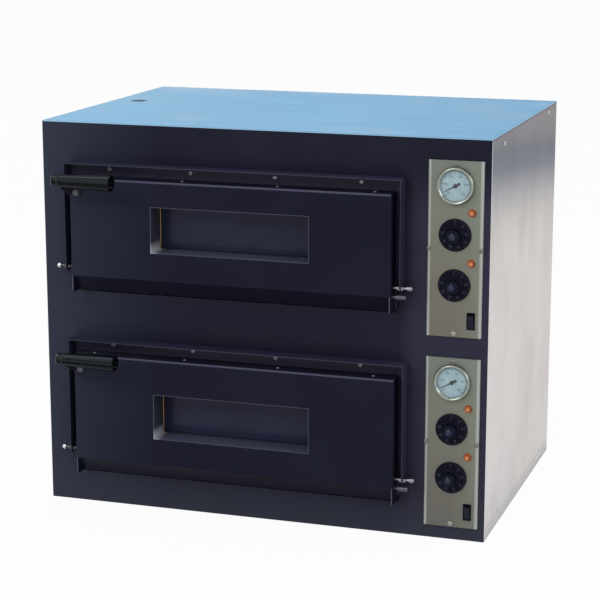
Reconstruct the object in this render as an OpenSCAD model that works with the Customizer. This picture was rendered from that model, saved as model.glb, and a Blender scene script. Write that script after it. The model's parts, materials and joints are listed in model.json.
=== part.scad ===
// Countertop double-deck pizza oven, as an assembly of separate sheet-metal, glass and stone pieces.
// Millimetres. +X is to the right seen from the front, +Y to the back, +Z up.
// The origin is the middle of the base, on the surface that the oven stands on.

/* [Cabinet] */
// Overall width
body_w = 880; // [860:5:1060]
// Depth of the cabinet, without doors and handles
body_d = 615; // [510:5:740]
// Height from one deck to the next
deck_pitch = 365; // [350:5:440]
// Height of the cabinet above the two deck pitches
head_h = 25; // [20:1:60]
// Thickness of the side, rear and top sheets
sheet_t = 1.2; // [0.8:0.1:2]
// Thickness of the black front plates
fascia_t = 1.5; // [1:0.1:2.5]
// Height of the visible base strip
base_h = 14; // [10:1:30]
// Thickness of the base sheet
base_t = 2; // [1.5:0.1:3]
// Width of the folded flanges that the sheets are screwed to
flange_w = 34; // [28:1:50]
// Width of each leg of the corner posts
post_w = 20; // [12:1:24]
// Gap between the two front plates
fascia_seam = 1; // [0.5:0.1:3]

/* [Doors] */
// Height of the lower hinge line above the table
pivot_h = 114; // [112:1:125]
// Distance of the hinge line in front of the front plate
pivot_out = 22; // [20:0.5:26]
// Distance of the doors' left edge from the cabinet's left side
door_inset = 73; // [60:1:110]
// Width of the lower door
lower_door_w = 640; // [630:1:650]
// Width of the upper door
upper_door_w = 632; // [625:1:650]
// Height of the lower door's top above its hinge line
lower_door_rise = 195; // [175:1:200]
// Height of the upper door's top above its hinge line
upper_door_rise = 175; // [170:1:195]
// How far the door face stands in front of the front plate
door_proud = 40; // [34:1:50]
// Start of the door's bottom bevel below the hinge line
door_chin = 14; // [10:1:20]
// Lowest edge of the door below the hinge line
door_drop = 48; // [36:1:52]
// Thickness of the door sheets
door_t = 1.2; // [0.8:0.1:2]
// How far the door's plug reaches behind the front plate
plug_in = 16; // [10:1:20]

/* [Windows] */
// Width of the window opening
window_w = 314; // [250:1:400]
// Height of the window opening
window_h = 89; // [60:1:100]
// Bottom of the window above the hinge line
window_rise = 38; // [34:1:44]
// Middle of the window, from the door's left edge
window_mid = 320; // [300:1:330]
// Thickness of the glass pane
pane_t = 4; // [3:0.5:6]
// How far the pane reaches behind the window's edge
pane_lap = 8; // [5:1:10]

/* [Door hood] */
// Depth of the hood's top and side flanges
hood_depth = 33; // [20:1:45]
// Height of the hood above the door's top
hood_rise = 26; // [20:1:32]
// Gap between the door's ends and the hood's side flanges
hood_gap = 15; // [12:0.5:16]
// Thickness of the hood sheet
hood_t = 1.5; // [1:0.1:2]
// Radius of the hinge lugs
lug_r = 9.5; // [8:0.5:11]

/* [Handle] */
// Length of the grip to the right of its bracket
grip_len = 106; // [80:1:180]
// Radius of the grip at its bracket
grip_r_small = 12; // [8:0.5:13]
// Radius of the grip at its free end
grip_r_big = 15.5; // [10:0.5:18]
// Distance of the grip's centre line in front of the door face
grip_out = 52; // [40:1:70]
// Height of the grip's centre line above the door's top
grip_up = 2; // [-10:1:10]
// Length of the ferrule on the bracket's other side
ferrule_len = 12; // [10:1:30]
// Thickness of the handle bracket
bracket_t = 3; // [2:0.5:5]

/* [Oven chambers] */
// Width of a chamber and of its mouth
chamber_w = 600; // [560:1:604]
// Height of the mouth above the stone
mouth_h = 140; // [135:1:145]
// Height of the chamber's ceiling above the stone
chamber_h = 164; // [155:1:166]
// Thickness of the insulation behind the chambers
rear_wool = 50; // [30:1:90]
// Thickness of the chamber sheet
liner_t = 1.5; // [1:0.1:2]
// Thickness of the baking stones
stone_t = 20; // [12:1:22]
// Depth of the heater space under the stones
heater_space = 35; // [30:1:38]
// Radius of the heater tubes
heater_r = 4; // [3:0.25:5]
// Distance between the two legs of a heater
heater_pitch = 90; // [60:1:110]

/* [Control panels] */
// Width of a control panel
panel_w = 103; // [96:1:112]
// Height of a control panel
panel_h = 325; // [320:1:345]
// How far a panel stands in front of the front plate
panel_proud = 4; // [3:0.5:6]
// Distance of the panels from the cabinet's right side
panel_margin = 12.5; // [10:0.5:30]
// Middle of a panel above the hinge line
panel_rise = 74; // [72:1:76]
// Radius of the thermometer's bezel
gauge_r = 33.75; // [28:0.25:38]
// How far the thermometer stands in front of the panel
gauge_proud = 8; // [6:0.5:12]
// Radius of the knob skirts
knob_r = 30; // [20:0.5:31]
// Radius of the knob grips
knob_grip_r = 12.5; // [8:0.5:16]
// Length of the knobs
knob_len = 25; // [16:1:32]
// Radius of the thermostat spindles
spindle_r = 3; // [2.5:0.25:4]
// Radius of the pilot lamps
lamp_r = 7.6; // [5:0.1:9]
// Width of a rocker switch
switch_w = 15.2; // [13:0.1:18]
// Height of a rocker switch
switch_h = 31.6; // [26:0.1:36]

/* [Openings and fasteners] */
// Inside radius of the flue outlet
flue_r = 14; // [10:0.5:16]
// Distance of the flue outlet from the left side
flue_inset = 54; // [50:1:60]
// Distance of the flue outlet from the front
flue_back = 350; // [200:5:400]
// Inside radius of the cable gland
gland_r = 6; // [4:0.5:9]
// Radius of the fixing holes in the base
base_hole_r = 5.25; // [3:0.25:7]
// Distance of the fixing holes from the cabinet's left and right sides
base_hole_x = 40; // [30:1:80]
// Distance of the fixing holes from the cabinet's front and back
base_hole_y = 37.5; // [30:0.5:80]
// Radius of the hinge bolts
hinge_r = 3; // [2.5:0.25:4]
// Radius of the small screws' heads
head_r = 4.2; // [3:0.1:5]
// Radius of the small screws' shanks
shank_r = 1.9; // [1.5:0.1:2.5]

/* [Clearances] */
// Radial clearance of pins and shafts that turn
run_gap = 0.05; // [0.01:0.01:0.1]
// Gap between fixed pieces
fit_gap = 0.3; // [0.2:0.05:0.6]
// Gap around the swinging edge of a door
swing_gap = 2; // [1:0.5:4]
// Height of the stone above the open door's inner face
step_gap = 1; // [0.5:0.5:3]
// Gap between the closed door and the hood plate
door_gap = 0.5; // [0.3:0.1:1]

/* [Hidden] */
$fn = 48;
DECKS = [0, 1];
ENDS = [-1, 1];
eps = 1;

// Cabinet planes
body_h = 2 * deck_pitch + head_h;
half_w = body_w / 2;
half_d = body_d / 2;
roof_z = body_h - sheet_t;
inner_w = half_w - sheet_t;
rear_y = body_d - sheet_t;
seam_z = deck_pitch + 5;
frame_y0 = fascia_t + base_t + fit_gap;
frame_y1 = rear_y - 2 * fit_gap - base_t;

// Door and hood, measured from the front plate and the hinge line
door_x0 = door_inset - half_w;
door_ws = [lower_door_w, upper_door_w];
door_rises = [lower_door_rise, upper_door_rise];
door_back = hood_t + door_gap;
bevel_k = sqrt(2) - 1;
arm_back = pivot_out - door_back;
swing_r = sqrt(arm_back * arm_back + door_drop * door_drop);
sill_y = swing_r - pivot_out + swing_gap;
pocket_z = -door_drop - 2 * swing_gap;
floor_z = arm_back + step_gap;
lug_top = 8;
bolt_out = 22;
bush_r = 8;
bush_len = 12;
stop_dy = -4;
stop_dz = -16.5;
stop_r = 5;

// Window, plug and handle
window_x = [door_x0 + window_mid - window_w / 2, door_x0 + window_mid + window_w / 2];
window_z = [window_rise, window_rise + window_h];
pane_y = [plug_in - door_t - pane_t, plug_in - door_t];
plug_side = 5;
plug_z = [floor_z + 3, floor_z + mouth_h - 6];
sleeve_t = 1;
grip_y = -door_proud - grip_out;
tab_w = 22;
tab_h = 31;
tab_top = 4;
bracket_hub_r = grip_r_small - 0.5;
handle_rod_r = 3;
ferrule_cap_t = 3;

// Chamber
chamber_mid = door_x0 + (lower_door_w + upper_door_w) / 4 - 2;
mouth_x = [chamber_mid - chamber_w / 2, chamber_mid + chamber_w / 2];
mouth_z = [floor_z, floor_z + mouth_h];
chamber_y = [sill_y + liner_t, body_d - rear_wool - liner_t];
chamber_z = [floor_z - stone_t - heater_space, floor_z + chamber_h];
chamber_d = chamber_y[1] - chamber_y[0];
ledge_w = 15;
ledge_t = 1.5;
stone_play = 2;
heater_rows = [chamber_y[0] + 0.27 * chamber_d, chamber_y[0] + 0.73 * chamber_d];
heater_left = mouth_x[0] + 40 + heater_pitch / 2;
top_heater_z = chamber_z[1] - 13;
bottom_heater_z = chamber_z[0] + 16;
hole_gap = 0.3;
seam_gap = 0.2;
pad_gap = 0.4;

// Control bay
panel_x = half_w - panel_margin - panel_w / 2;
partition_x = panel_x - panel_w / 2 - 35;
partition_t = 1.5;
panel_t = 1.2;
panel_edge_r = 3.5;
panel_back = -panel_proud + panel_t;
bay_w = 82;
bay_h = panel_h - 30;
gauge_z = 117;
knob_zs = [27, -66];
lamp_x = 31;
lamp_zs = [68.5, -24];
switch_x = 32;
switch_z = -131;
panel_screw_x = panel_w / 2 - 3.1;
panel_screw_z = panel_h / 2 - 6.5;
thermostat_w = 38;
thermostat_d = 30;
thermostat_y = panel_back + thermostat_d;
bush_out_r = 5;
knob_gap = 0.8;
gauge_can_r = 28;
gauge_can_y = 14;
dial_r = gauge_r - 3.75;
dial_drop = 5;
dial_y = -panel_proud - gauge_proud + dial_drop;
glass_t = 1;
needle_rest = 209;
needle_len = 24;
needle_tail = 8;
needle_y = [dial_y - 1.9, dial_y - 1.1];
needle_pin_r = 1.2;
rocker_tilt = 12;
rocker_y = -panel_proud + 3;
rocker_half = switch_h / 2 - 3.8;
rocker_w = switch_w - 4.8;
rocker_pin_r = 1.5;
switch_rim = 2;
switch_y = 16;
switch_wall = 1.1;

// Sensors, lamps and wiring
sensor_ys = [chamber_y[0] + 0.5 * chamber_d, chamber_y[0] + 0.56 * chamber_d];
bulb_r = 3;
bulb_len = 90;
capillary_r = 1;
oven_lamp_y = chamber_y[0] + 0.89 * chamber_d;
oven_lamp_r = 9;
oven_lamp_z = chamber_z[1] - 13;
terminal_z = 75;
terminal_y = body_d - 130;
loom_x = partition_x + 20;
loom_y = 70;
loom_r = 4;
wire_r = 2.5;

// Flue, gland, screws and mounts
flue_x = flue_inset - half_w;
flue_y = flue_back - half_d;
flue_t = 1.5;
collar_len = 40;
collar_lip = 8;
collar_lip_t = 3;
side_screw_front = 104;
side_screw_low_front = 119;
side_screw_rear = body_d - 88;
foot_screw_z = 26;
branch_r = 7.5;
branch_z = chamber_z[1] - 20;
gland_z = 60;
gland_out = 14;
gland_thread_r = gland_r + 3.5;
gland_hex_r = gland_r + 8;
gland_nut_t = 5;
side_screws = [[side_screw_front, roof_z - 19], [side_screw_rear, roof_z - 12],
    [side_screw_low_front, foot_screw_z], [side_screw_rear, foot_screw_z]];
rear_screw_x = half_w - 30;
rear_screw_zs = [foot_screw_z, body_h / 2, roof_z - 19];
head_t = 2.2;
surround_screws_x = [66, 232, 399, 566];
door_screws_x = [35, 222, 410, 597];
band_screw_drop = 12;
screw_grip = 5;

// A box from three ranges
module block(x, y, z) {
    translate([x[0], y[0], z[0]]) cube([x[1] - x[0], y[1] - y[0], z[1] - z[0]]);
}

// Round bars along each axis: the first range is the bar's own, the rest is its centre line
module rod_x(x, y, z, r) {
    translate([x[0], y, z]) rotate([0, 90, 0]) cylinder(r = r, h = x[1] - x[0]);
}

module rod_y(x, y, z, r) {
    translate([x, y[1], z]) rotate([90, 0, 0]) cylinder(r = r, h = y[1] - y[0]);
}

module rod_z(x, y, z, r) {
    translate([x, y, z[0]]) cylinder(r = r, h = z[1] - z[0]);
}

// A hexagon bar along Y or X, r across its corners
module hex_y(x, y, z, r) {
    translate([x, y[1], z]) rotate([90, 0, 0]) cylinder(r = r, h = y[1] - y[0], $fn = 6);
}

module hex_x(x, y, z, r) {
    translate([x[0], y, z]) rotate([0, 90, 0]) cylinder(r = r, h = x[1] - x[0], $fn = 6);
}

// A cone along Y, wider or narrower at its front
module cone_y(x, y, z, r_front, r_back) {
    translate([x, y[1], z]) rotate([90, 0, 0]) cylinder(r1 = r_back, r2 = r_front, h = y[1] - y[0]);
}

// An outline in the YZ plane, drawn out along X
module prism_x(x, points) {
    translate([x[0], 0, 0]) rotate([90, 0, 90]) linear_extrude(x[1] - x[0]) polygon(points);
}

// A profile of [radius, distance forward] turned about a Y axis
module turned_y(x, y, z, profile) {
    translate([x, y, z]) rotate([90, 0, 0]) rotate_extrude() polygon(profile);
}

// An eight-sided wire or thin tube through a list of points, each stretch overlapping the next at its corner
module wire(points, r) {
    for (i = [1 : len(points) - 1]) {
        v = points[i] - points[i - 1];
        lead = i > 1 ? r : 0;
        trail = i < len(points) - 1 ? r : 0;
        translate(points[i - 1]) rotate([0, acos(v.z / norm(v)), atan2(v.y, v.x)])
            translate([0, 0, -lead]) cylinder(r = r, h = norm(v) + lead + trail, $fn = 8);
    }
}

// Pieces of one deck: y counts from the front plate, z from that deck's hinge line
module at_deck(deck) {
    translate([0, -half_d, pivot_h + deck * deck_pitch]) children();
}

// Pieces of one control panel: x and z count from the panel's middle
module at_panel(deck) {
    at_deck(deck) translate([panel_x, 0, panel_rise]) children();
}

// Pan-head screw through a front plate: y is the surface under its head
module screw_y(x, y, z) {
    cone_y(x, [y - head_t, y], z, head_r * 0.72, head_r);
    rod_y(x, [y, y + screw_grip], z, shank_r);
}

// Clearance hole for such a screw
module screw_hole_y(x, z) {
    rod_y(x, [-panel_proud - eps, fascia_t + eps], z, shank_r + fit_gap);
}

// ---- Cabinet ----

module base_tray() {
    skirt_x = inner_w - fit_gap;
    color("silver") translate([0, -half_d, 0]) difference() {
        union() {
            difference() {
                block([-half_w, half_w], [fascia_t, body_d], [0, base_h]);
                block([-half_w + base_t, half_w - base_t], [fascia_t + base_t, body_d - base_t], [base_t, base_h + eps]);
            }
            for (side = ENDS) {
                mirror([side < 0 ? 1 : 0, 0, 0])
                    block([skirt_x - base_t, skirt_x], [fascia_t + fit_gap, rear_y - fit_gap], [base_t / 2, flange_w]);
            }
            block([-skirt_x, skirt_x], [rear_y - fit_gap - base_t, rear_y - fit_gap], [base_t / 2, flange_w]);
        }
        for (sx = ENDS, y = [base_hole_y, body_d - base_hole_y]) {
            rod_z(sx * (half_w - base_hole_x), y, [-eps, base_t + eps], base_hole_r);
        }
        for (side = ENDS) {
            side_screw_holes(side);
        }
        rear_screw_holes();
    }
}

// Clearance holes for the screws of one side, and for those of the rear
module side_screw_holes(side) {
    mirror([side < 0 ? 1 : 0, 0, 0]) {
        for (s = side_screws) {
            rod_x([inner_w - post_w, half_w + eps], s[0], s[1], shank_r + fit_gap);
        }
    }
}

module rear_screw_holes() {
    for (sx = ENDS, z = rear_screw_zs) {
        rod_y(sx * rear_screw_x, [rear_y - post_w, body_d + eps], z, shank_r + fit_gap);
    }
}

module side_panel(side) {
    color("gainsboro") translate([0, -half_d, 0]) difference() {
        mirror([side < 0 ? 1 : 0, 0, 0]) block([inner_w, half_w], [fascia_t, body_d], [base_h, roof_z]);
        side_screw_holes(side);
    }
}

module top_panel() {
    hang_x = inner_w - fit_gap;
    hang_z = [roof_z - flange_w, roof_z];
    color("skyblue") translate([0, -half_d, 0]) difference() {
        union() {
            block([-half_w, half_w], [0, body_d], [roof_z, body_h]);
            for (side = ENDS) {
                mirror([side < 0 ? 1 : 0, 0, 0])
                    block([hang_x - sheet_t, hang_x], [fascia_t + fit_gap, rear_y - fit_gap], hang_z);
            }
            block([-hang_x, hang_x], [rear_y - fit_gap - sheet_t, rear_y - fit_gap], hang_z);
        }
        rod_z(flue_x, flue_back, [roof_z - eps, body_h + eps], flue_r + flue_t + fit_gap);
        for (side = ENDS) {
            side_screw_holes(side);
        }
        rear_screw_holes();
    }
}

module rear_panel() {
    slot_w = 90;
    slot_h = 5;
    slot_pitch = 16;
    slot_rows = 9;
    color("silver") translate([0, -half_d, 0]) difference() {
        block([-inner_w, inner_w], [rear_y, body_d], [base_h, roof_z]);
        for (deck = DECKS, row = [0 : slot_rows - 1]) {
            z = pivot_h + deck * deck_pitch + row * slot_pitch;
            block([panel_x - slot_w / 2, panel_x + slot_w / 2], [rear_y - eps, body_d + eps], [z, z + slot_h]);
        }
        rod_y(panel_x, [rear_y - eps, body_d + eps], gland_z, gland_thread_r + fit_gap);
        rear_screw_holes();
    }
}

// Front plate of one deck, with its mouth, the door's swing pocket and the control bay cut out
module fascia(deck) {
    z0 = deck == 0 ? 0 : seam_z + fascia_seam / 2;
    z1 = deck == 0 ? seam_z - fascia_seam / 2 : roof_z;
    shift_z = pivot_h + deck * deck_pitch;
    color("#26263a") at_deck(deck) difference() {
        block([-half_w, half_w], [0, fascia_t], [z0 - shift_z, z1 - shift_z]);
        door_cutout(deck, [-eps, fascia_t + eps]);
        translate([panel_x, 0, panel_rise]) {
            block([-bay_w / 2, bay_w / 2], [-eps, fascia_t + eps], [-bay_h / 2, bay_h / 2]);
            panel_screw_holes();
        }
        for (x = surround_screws_x) {
            screw_hole_y(door_x0 + x, door_rises[deck] + hood_rise - band_screw_drop);
        }
    }
}

// What a door needs open behind it: the mouth for its plug, and the pocket for its lower edge
module door_cutout(deck, y) {
    block(mouth_x, y, [floor_z - eps, mouth_z[1]]);
    block(pocket_x(deck), y, [pocket_z, floor_z + step_gap]);
}

function pocket_x(deck) = [door_x0 - swing_gap, door_x0 + door_ws[deck] + swing_gap];

module panel_screw_holes() {
    for (s = ENDS) {
        screw_hole_y(s * panel_screw_x, 0);
        screw_hole_y(0, s * panel_screw_z);
    }
}

module corner_posts() {
    x1 = inner_w - fit_gap - base_t - fit_gap;
    ys = [frame_y0, frame_y1];
    color("darkgray") translate([0, -half_d, 0]) difference() {
        for (side = ENDS, back = [0, 1]) {
            mirror([side < 0 ? 1 : 0, 0, 0]) translate([x1, ys[back], base_t]) mirror([0, back, 0]) {
                translate([-fascia_t, 0, 0]) cube([fascia_t, post_w, roof_z - base_t]);
                translate([-post_w, 0, 0]) cube([post_w, fascia_t, roof_z - base_t]);
            }
        }
        rear_screw_holes();
    }
}

module control_partition() {
    color("silver") translate([0, -half_d, 0]) difference() {
        block([partition_x, partition_x + partition_t], [frame_y0, frame_y1], [base_t, roof_z]);
        for (deck = DECKS) {
            translate([0, 0, pivot_h + deck * deck_pitch]) hot_wall_holes(hole_gap);
        }
    }
}

// Holes for the heaters, the sensors and the lamp through the chamber's right wall and what lies beyond it
module hot_wall_holes(gap) {
    x = [mouth_x[1] - eps, partition_x + partition_t + eps];
    for (row = heater_rows, s = ENDS, z = [top_heater_z, bottom_heater_z]) {
        rod_x(x, row + s * heater_pitch / 2, z, heater_r + gap);
    }
    for (y = sensor_ys) {
        rod_x(x, y, top_heater_z, bulb_r + gap);
    }
    rod_x(x, sensor_ys[0], bottom_heater_z, bulb_r + gap);
    rod_x(x, oven_lamp_y, oven_lamp_z, oven_lamp_r + gap);
}

module cabinet_screws() {
    color("whitesmoke") translate([0, -half_d, 0]) {
        for (side = ENDS, s = side_screws) {
            mirror([side < 0 ? 1 : 0, 0, 0]) {
                translate([half_w, s[0], s[1]]) rotate([0, 90, 0])
                    cylinder(r1 = head_r, r2 = head_r * 0.72, h = head_t);
                rod_x([half_w - screw_grip, half_w], s[0], s[1], shank_r);
            }
        }
        for (sx = ENDS, z = rear_screw_zs) {
            cone_y(sx * rear_screw_x, [body_d, body_d + head_t], z, head_r, head_r * 0.72);
            rod_y(sx * rear_screw_x, [body_d - screw_grip, body_d], z, shank_r);
        }
    }
}

// ---- Flue ----

module flue_collar() {
    color("dimgray") translate([flue_x, flue_y, 0]) difference() {
        union() {
            rod_z(0, 0, [body_h - collar_len, body_h], flue_r + flue_t);
            rod_z(0, 0, [roof_z - collar_lip_t, roof_z], flue_r + collar_lip);
        }
        rod_z(0, 0, [body_h - collar_len - eps, body_h + eps], flue_r);
    }
}

module flue_manifold() {
    z0 = pivot_h + branch_z - flue_r - 4;
    wall = flue_r + flue_t;
    bore = flue_r - 1.5;
    branch_end = mouth_x[0] - liner_t / 2;
    color("silver") difference() {
        union() {
            rod_z(flue_x, flue_y, [z0, body_h - collar_len], wall);
            for (deck = DECKS) {
                rod_x([flue_x, branch_end], flue_y, pivot_h + deck * deck_pitch + branch_z, branch_r + flue_t);
            }
        }
        rod_z(flue_x, flue_y, [z0 + flue_t, body_h], bore);
        for (deck = DECKS) {
            rod_x([flue_x, branch_end + eps], flue_y, pivot_h + deck * deck_pitch + branch_z, branch_r);
        }
    }
}

// ---- Electrical supply ----

module cable_gland() {
    y = body_d;
    color("#202022") translate([0, -half_d, 0]) difference() {
        union() {
            hex_y(panel_x, [y, y + 6], gland_z, gland_hex_r);
            rod_y(panel_x, [y + 6, y + gland_out], gland_z, gland_hex_r - 3);
            rod_y(panel_x, [rear_y - gland_nut_t - 3, y], gland_z, gland_thread_r);
            hex_y(panel_x, [rear_y - gland_nut_t, rear_y], gland_z, gland_hex_r);
        }
        rod_y(panel_x, [rear_y - 20, y + 20], gland_z, gland_r);
    }
}

module terminal_block() {
    pole = 12;
    poles = 5;
    x = [partition_x + partition_t, partition_x + partition_t + 16];
    color("ivory") translate([0, -half_d, 0]) difference() {
        block(x, [terminal_y, terminal_y + poles * pole], [terminal_z - 12, terminal_z + 12]);
        for (p = [0 : poles - 1]) {
            rod_x([x[0] + 4, x[1] + eps], terminal_y + (p + 0.5) * pole, terminal_z - 6, 2.5);
            rod_x([x[0] + 4, x[1] + eps], terminal_y + (p + 0.5) * pole, terminal_z + 6, 2.5);
        }
    }
}

module wiring_loom() {
    z_top = pivot_h + deck_pitch + panel_rise + knob_zs[0];
    z_low = pivot_h + panel_rise + switch_z;
    color("#333333") translate([0, -half_d, 0]) {
        wire([[loom_x, terminal_y, terminal_z], [loom_x, loom_y, terminal_z], [loom_x, loom_y, z_top]], loom_r);
        wire([[loom_x, loom_y, terminal_z], [loom_x, loom_y, z_low]], loom_r);
        for (deck = DECKS, z = knob_zs) {
            h = pivot_h + deck * deck_pitch + panel_rise + z;
            wire([[loom_x, loom_y, h], [panel_x, loom_y, h], [panel_x, thermostat_y + fit_gap, h]], wire_r);
        }
        for (deck = DECKS) {
            h = pivot_h + deck * deck_pitch + panel_rise + switch_z;
            wire([[loom_x, loom_y, h], [panel_x + switch_x, loom_y, h], [panel_x + switch_x, switch_y + fit_gap, h]],
                 wire_r);
        }
    }
}

// ---- Chambers ----

// Spot-welded flat sheets: the chamber's walls, its front header, the throat, the door pocket and the stone ledges
module chamber_liner(deck) {
    w = liner_t;
    g = seam_gap;
    px = pocket_x(deck);
    wall_y = [sill_y + w + g, chamber_y[1] + w];
    wall_z = [chamber_z[0] + g, chamber_z[1] - g];
    front_y = [sill_y, sill_y + w];
    throat_y = [fascia_t, sill_y + w];
    color("lightgray") at_deck(deck) {
        block([mouth_x[0] - w, mouth_x[1] + w], wall_y, [chamber_z[0] - w, chamber_z[0]]);
        block([mouth_x[0] - w, mouth_x[1] + w], wall_y, [chamber_z[1], chamber_z[1] + w]);
        block([mouth_x[0] + g, mouth_x[1] - g], [chamber_y[1], chamber_y[1] + w], wall_z);
        difference() {
            block([mouth_x[0] - w, mouth_x[0]], wall_y, wall_z);
            rod_x([mouth_x[0] - w - eps, mouth_x[0] + eps], flue_back, branch_z, branch_r + flue_t + hole_gap);
        }
        difference() {
            block([mouth_x[1], mouth_x[1] + w], wall_y, wall_z);
            hot_wall_holes(hole_gap);
        }
        block([mouth_x[0] - w, mouth_x[1] + w], front_y, [mouth_z[1] + w + g, chamber_z[1] + w]);
        block([mouth_x[0] - w, mouth_x[1] + w], throat_y, [mouth_z[1], mouth_z[1] + w]);
        block([mouth_x[0] - w, mouth_x[0]], throat_y, [floor_z + g, mouth_z[1] - g]);
        block([mouth_x[1], mouth_x[1] + w], throat_y, [floor_z + g, mouth_z[1] - g]);
        block([px[0] - w, mouth_x[0] - w - g], throat_y, [floor_z, floor_z + w]);
        block([mouth_x[1] + w + g, px[1] + w], throat_y, [floor_z, floor_z + w]);
        block([px[0] - w, px[1] + w], throat_y, [pocket_z - w, pocket_z]);
        block([px[0] - w, px[0]], throat_y, [pocket_z + g, floor_z - g]);
        block([px[1], px[1] + w], throat_y, [pocket_z + g, floor_z - g]);
        block([px[0] + g, px[1] - g], front_y, [pocket_z + g, floor_z - g]);
        stone_ledges();
    }
}

// Three strips that carry the stones, clear of the sheets by a welding seam
module stone_ledges() {
    x_mid = (mouth_x[0] + mouth_x[1]) / 2;
    y = [chamber_y[0] + seam_gap, chamber_y[1] - seam_gap];
    z = [floor_z - stone_t - ledge_t, floor_z - stone_t];
    block([mouth_x[0] + seam_gap, mouth_x[0] + ledge_w], y, z);
    block([mouth_x[1] - ledge_w, mouth_x[1] - seam_gap], y, z);
    block([x_mid - ledge_w / 2, x_mid + ledge_w / 2], y, z);
}

module baking_stones() {
    x_mid = (mouth_x[0] + mouth_x[1]) / 2;
    z = [floor_z - stone_t, floor_z];
    y = [chamber_y[0] + stone_play, chamber_y[1] - stone_play];
    color("wheat") for (deck = DECKS) {
        at_deck(deck) block([mouth_x[0] + stone_play, x_mid - stone_play / 2], y, z);
        at_deck(deck) block([x_mid + stone_play / 2, mouth_x[1] - stone_play], y, z);
    }
}

// One U-shaped heater with its two ends in the control bay
module heater(row, z) {
    x1 = partition_x + 22;
    collar = [partition_x + partition_t, partition_x + partition_t + 3];
    for (s = ENDS) {
        rod_x([heater_left, x1], row + s * heater_pitch / 2, z, heater_r);
        rod_x(collar, row + s * heater_pitch / 2, z, heater_r + 4);
    }
    translate([heater_left, row, z]) rotate([0, 0, 90]) rotate_extrude(angle = 180)
        translate([heater_pitch / 2, 0]) circle(r = heater_r);
}

module heaters(z) {
    color("dimgray") for (deck = DECKS, row = heater_rows) {
        at_deck(deck) heater(row, z);
    }
}

module oven_lamps() {
    for (deck = DECKS) {
        at_deck(deck) {
            color("lightyellow") rod_x([mouth_x[1] - 36, mouth_x[1] + 4], oven_lamp_y, oven_lamp_z, oven_lamp_r);
            color("white") rod_x([mouth_x[1] + 4, partition_x + 26], oven_lamp_y, oven_lamp_z, oven_lamp_r);
        }
    }
}

// Wool pads laid round the chambers: two on the left beside the flue, three between decks, and a side and a rear pad
// for each deck
module chamber_insulation() {
    w = liner_t + fit_gap;
    x = [-inner_w + fit_gap + base_t + post_w + 2, mouth_x[0] - w, mouth_x[1] + w, partition_x - fit_gap];
    y = [sill_y + w, chamber_y[1] + w, rear_y - screw_grip];
    z0 = flange_w + 2;
    z1 = roof_z - fit_gap;
    low_z = [for (deck = DECKS) pivot_h + deck * deck_pitch + chamber_z[0] - w];
    top_z = [for (deck = DECKS) pivot_h + deck * deck_pitch + chamber_z[1] + w];
    flue_room = flue_r + collar_lip + fit_gap;
    layers = [[z0, low_z[0]], [top_z[0], low_z[1]], [top_z[1], z1]];
    color("khaki") translate([0, -half_d, 0]) {
        block([x[0], x[1]], [y[0], flue_back - flue_room], [z0, z1]);
        block([x[0], x[1]], [flue_back + flue_room, y[2]], [z0, z1]);
        for (layer = layers) {
            block([x[1] + pad_gap, x[3]], [y[0], y[2]], layer);
        }
        for (deck = DECKS) {
            pad_z = [low_z[deck] + pad_gap, top_z[deck] - pad_gap];
            block([x[1] + pad_gap, x[2] - pad_gap], [y[1], y[2]], pad_z);
            difference() {
                block([x[2], x[3]], [y[0], y[2]], pad_z);
                translate([0, 0, pivot_h + deck * deck_pitch]) hot_wall_holes(2 * hole_gap);
            }
        }
    }
}

// ---- Controls ----

// Outline of the panel seen from above: square at the back, round at the front corners
module panel_outline(w, front, r) {
    translate([-w / 2 + r, front]) square([w - 2 * r, -front]);
    translate([-w / 2, front + r]) square([w, -front - r]);
    for (s = ENDS) {
        translate([s * (w / 2 - r), front + r]) circle(r = r);
    }
}

module control_panel(deck) {
    r_in = panel_edge_r - panel_t;
    color("#8f9a94") at_panel(deck) difference() {
        translate([0, 0, -panel_h / 2]) linear_extrude(panel_h)
            intersection() {
                panel_outline(panel_w, -panel_proud, panel_edge_r);
                translate([-panel_w / 2, -panel_proud]) square([panel_w, panel_proud]);
            }
        block([-panel_w / 2 + panel_edge_r, panel_w / 2 - panel_edge_r], [panel_back, eps],
              [-panel_h / 2 + r_in, panel_h / 2 - r_in]);
        rod_y(0, [-panel_proud - eps, eps], gauge_z, gauge_can_r + fit_gap);
        for (z = knob_zs) {
            rod_y(0, [-panel_proud - eps, eps], z, bush_out_r + fit_gap);
        }
        for (z = lamp_zs) {
            rod_y(lamp_x, [-panel_proud - eps, eps], z, lamp_r - 1.6 + fit_gap);
        }
        block([switch_x - switch_w / 2 + switch_wall - fit_gap, switch_x + switch_w / 2 - switch_wall + fit_gap],
              [-panel_proud - eps, eps],
              [switch_z - switch_h / 2 + switch_wall - fit_gap, switch_z + switch_h / 2 - switch_wall + fit_gap]);
        panel_screw_holes();
    }
}

module panel_screws() {
    color("whitesmoke") for (deck = DECKS, s = ENDS) {
        at_panel(deck) screw_y(s * panel_screw_x, -panel_proud, 0);
        at_panel(deck) screw_y(0, -panel_proud, s * panel_screw_z);
    }
}

module gauge_case(deck) {
    front = -panel_proud - gauge_proud;
    lip = 1.5;
    color("silver") at_panel(deck) translate([0, 0, gauge_z]) {
        difference() {
            union() {
                turned_y(0, -panel_proud, 0, [[0, 0], [gauge_r, 0], [gauge_r, gauge_proud - lip],
                         [gauge_r - lip, gauge_proud], [0, gauge_proud]]);
                rod_y(0, [-panel_proud, gauge_can_y], 0, gauge_can_r);
            }
            rod_y(0, [front - eps, dial_y], 0, dial_r);
        }
        rod_y(0, [dial_y - 2.4, dial_y], 0, needle_pin_r);
    }
}

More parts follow.
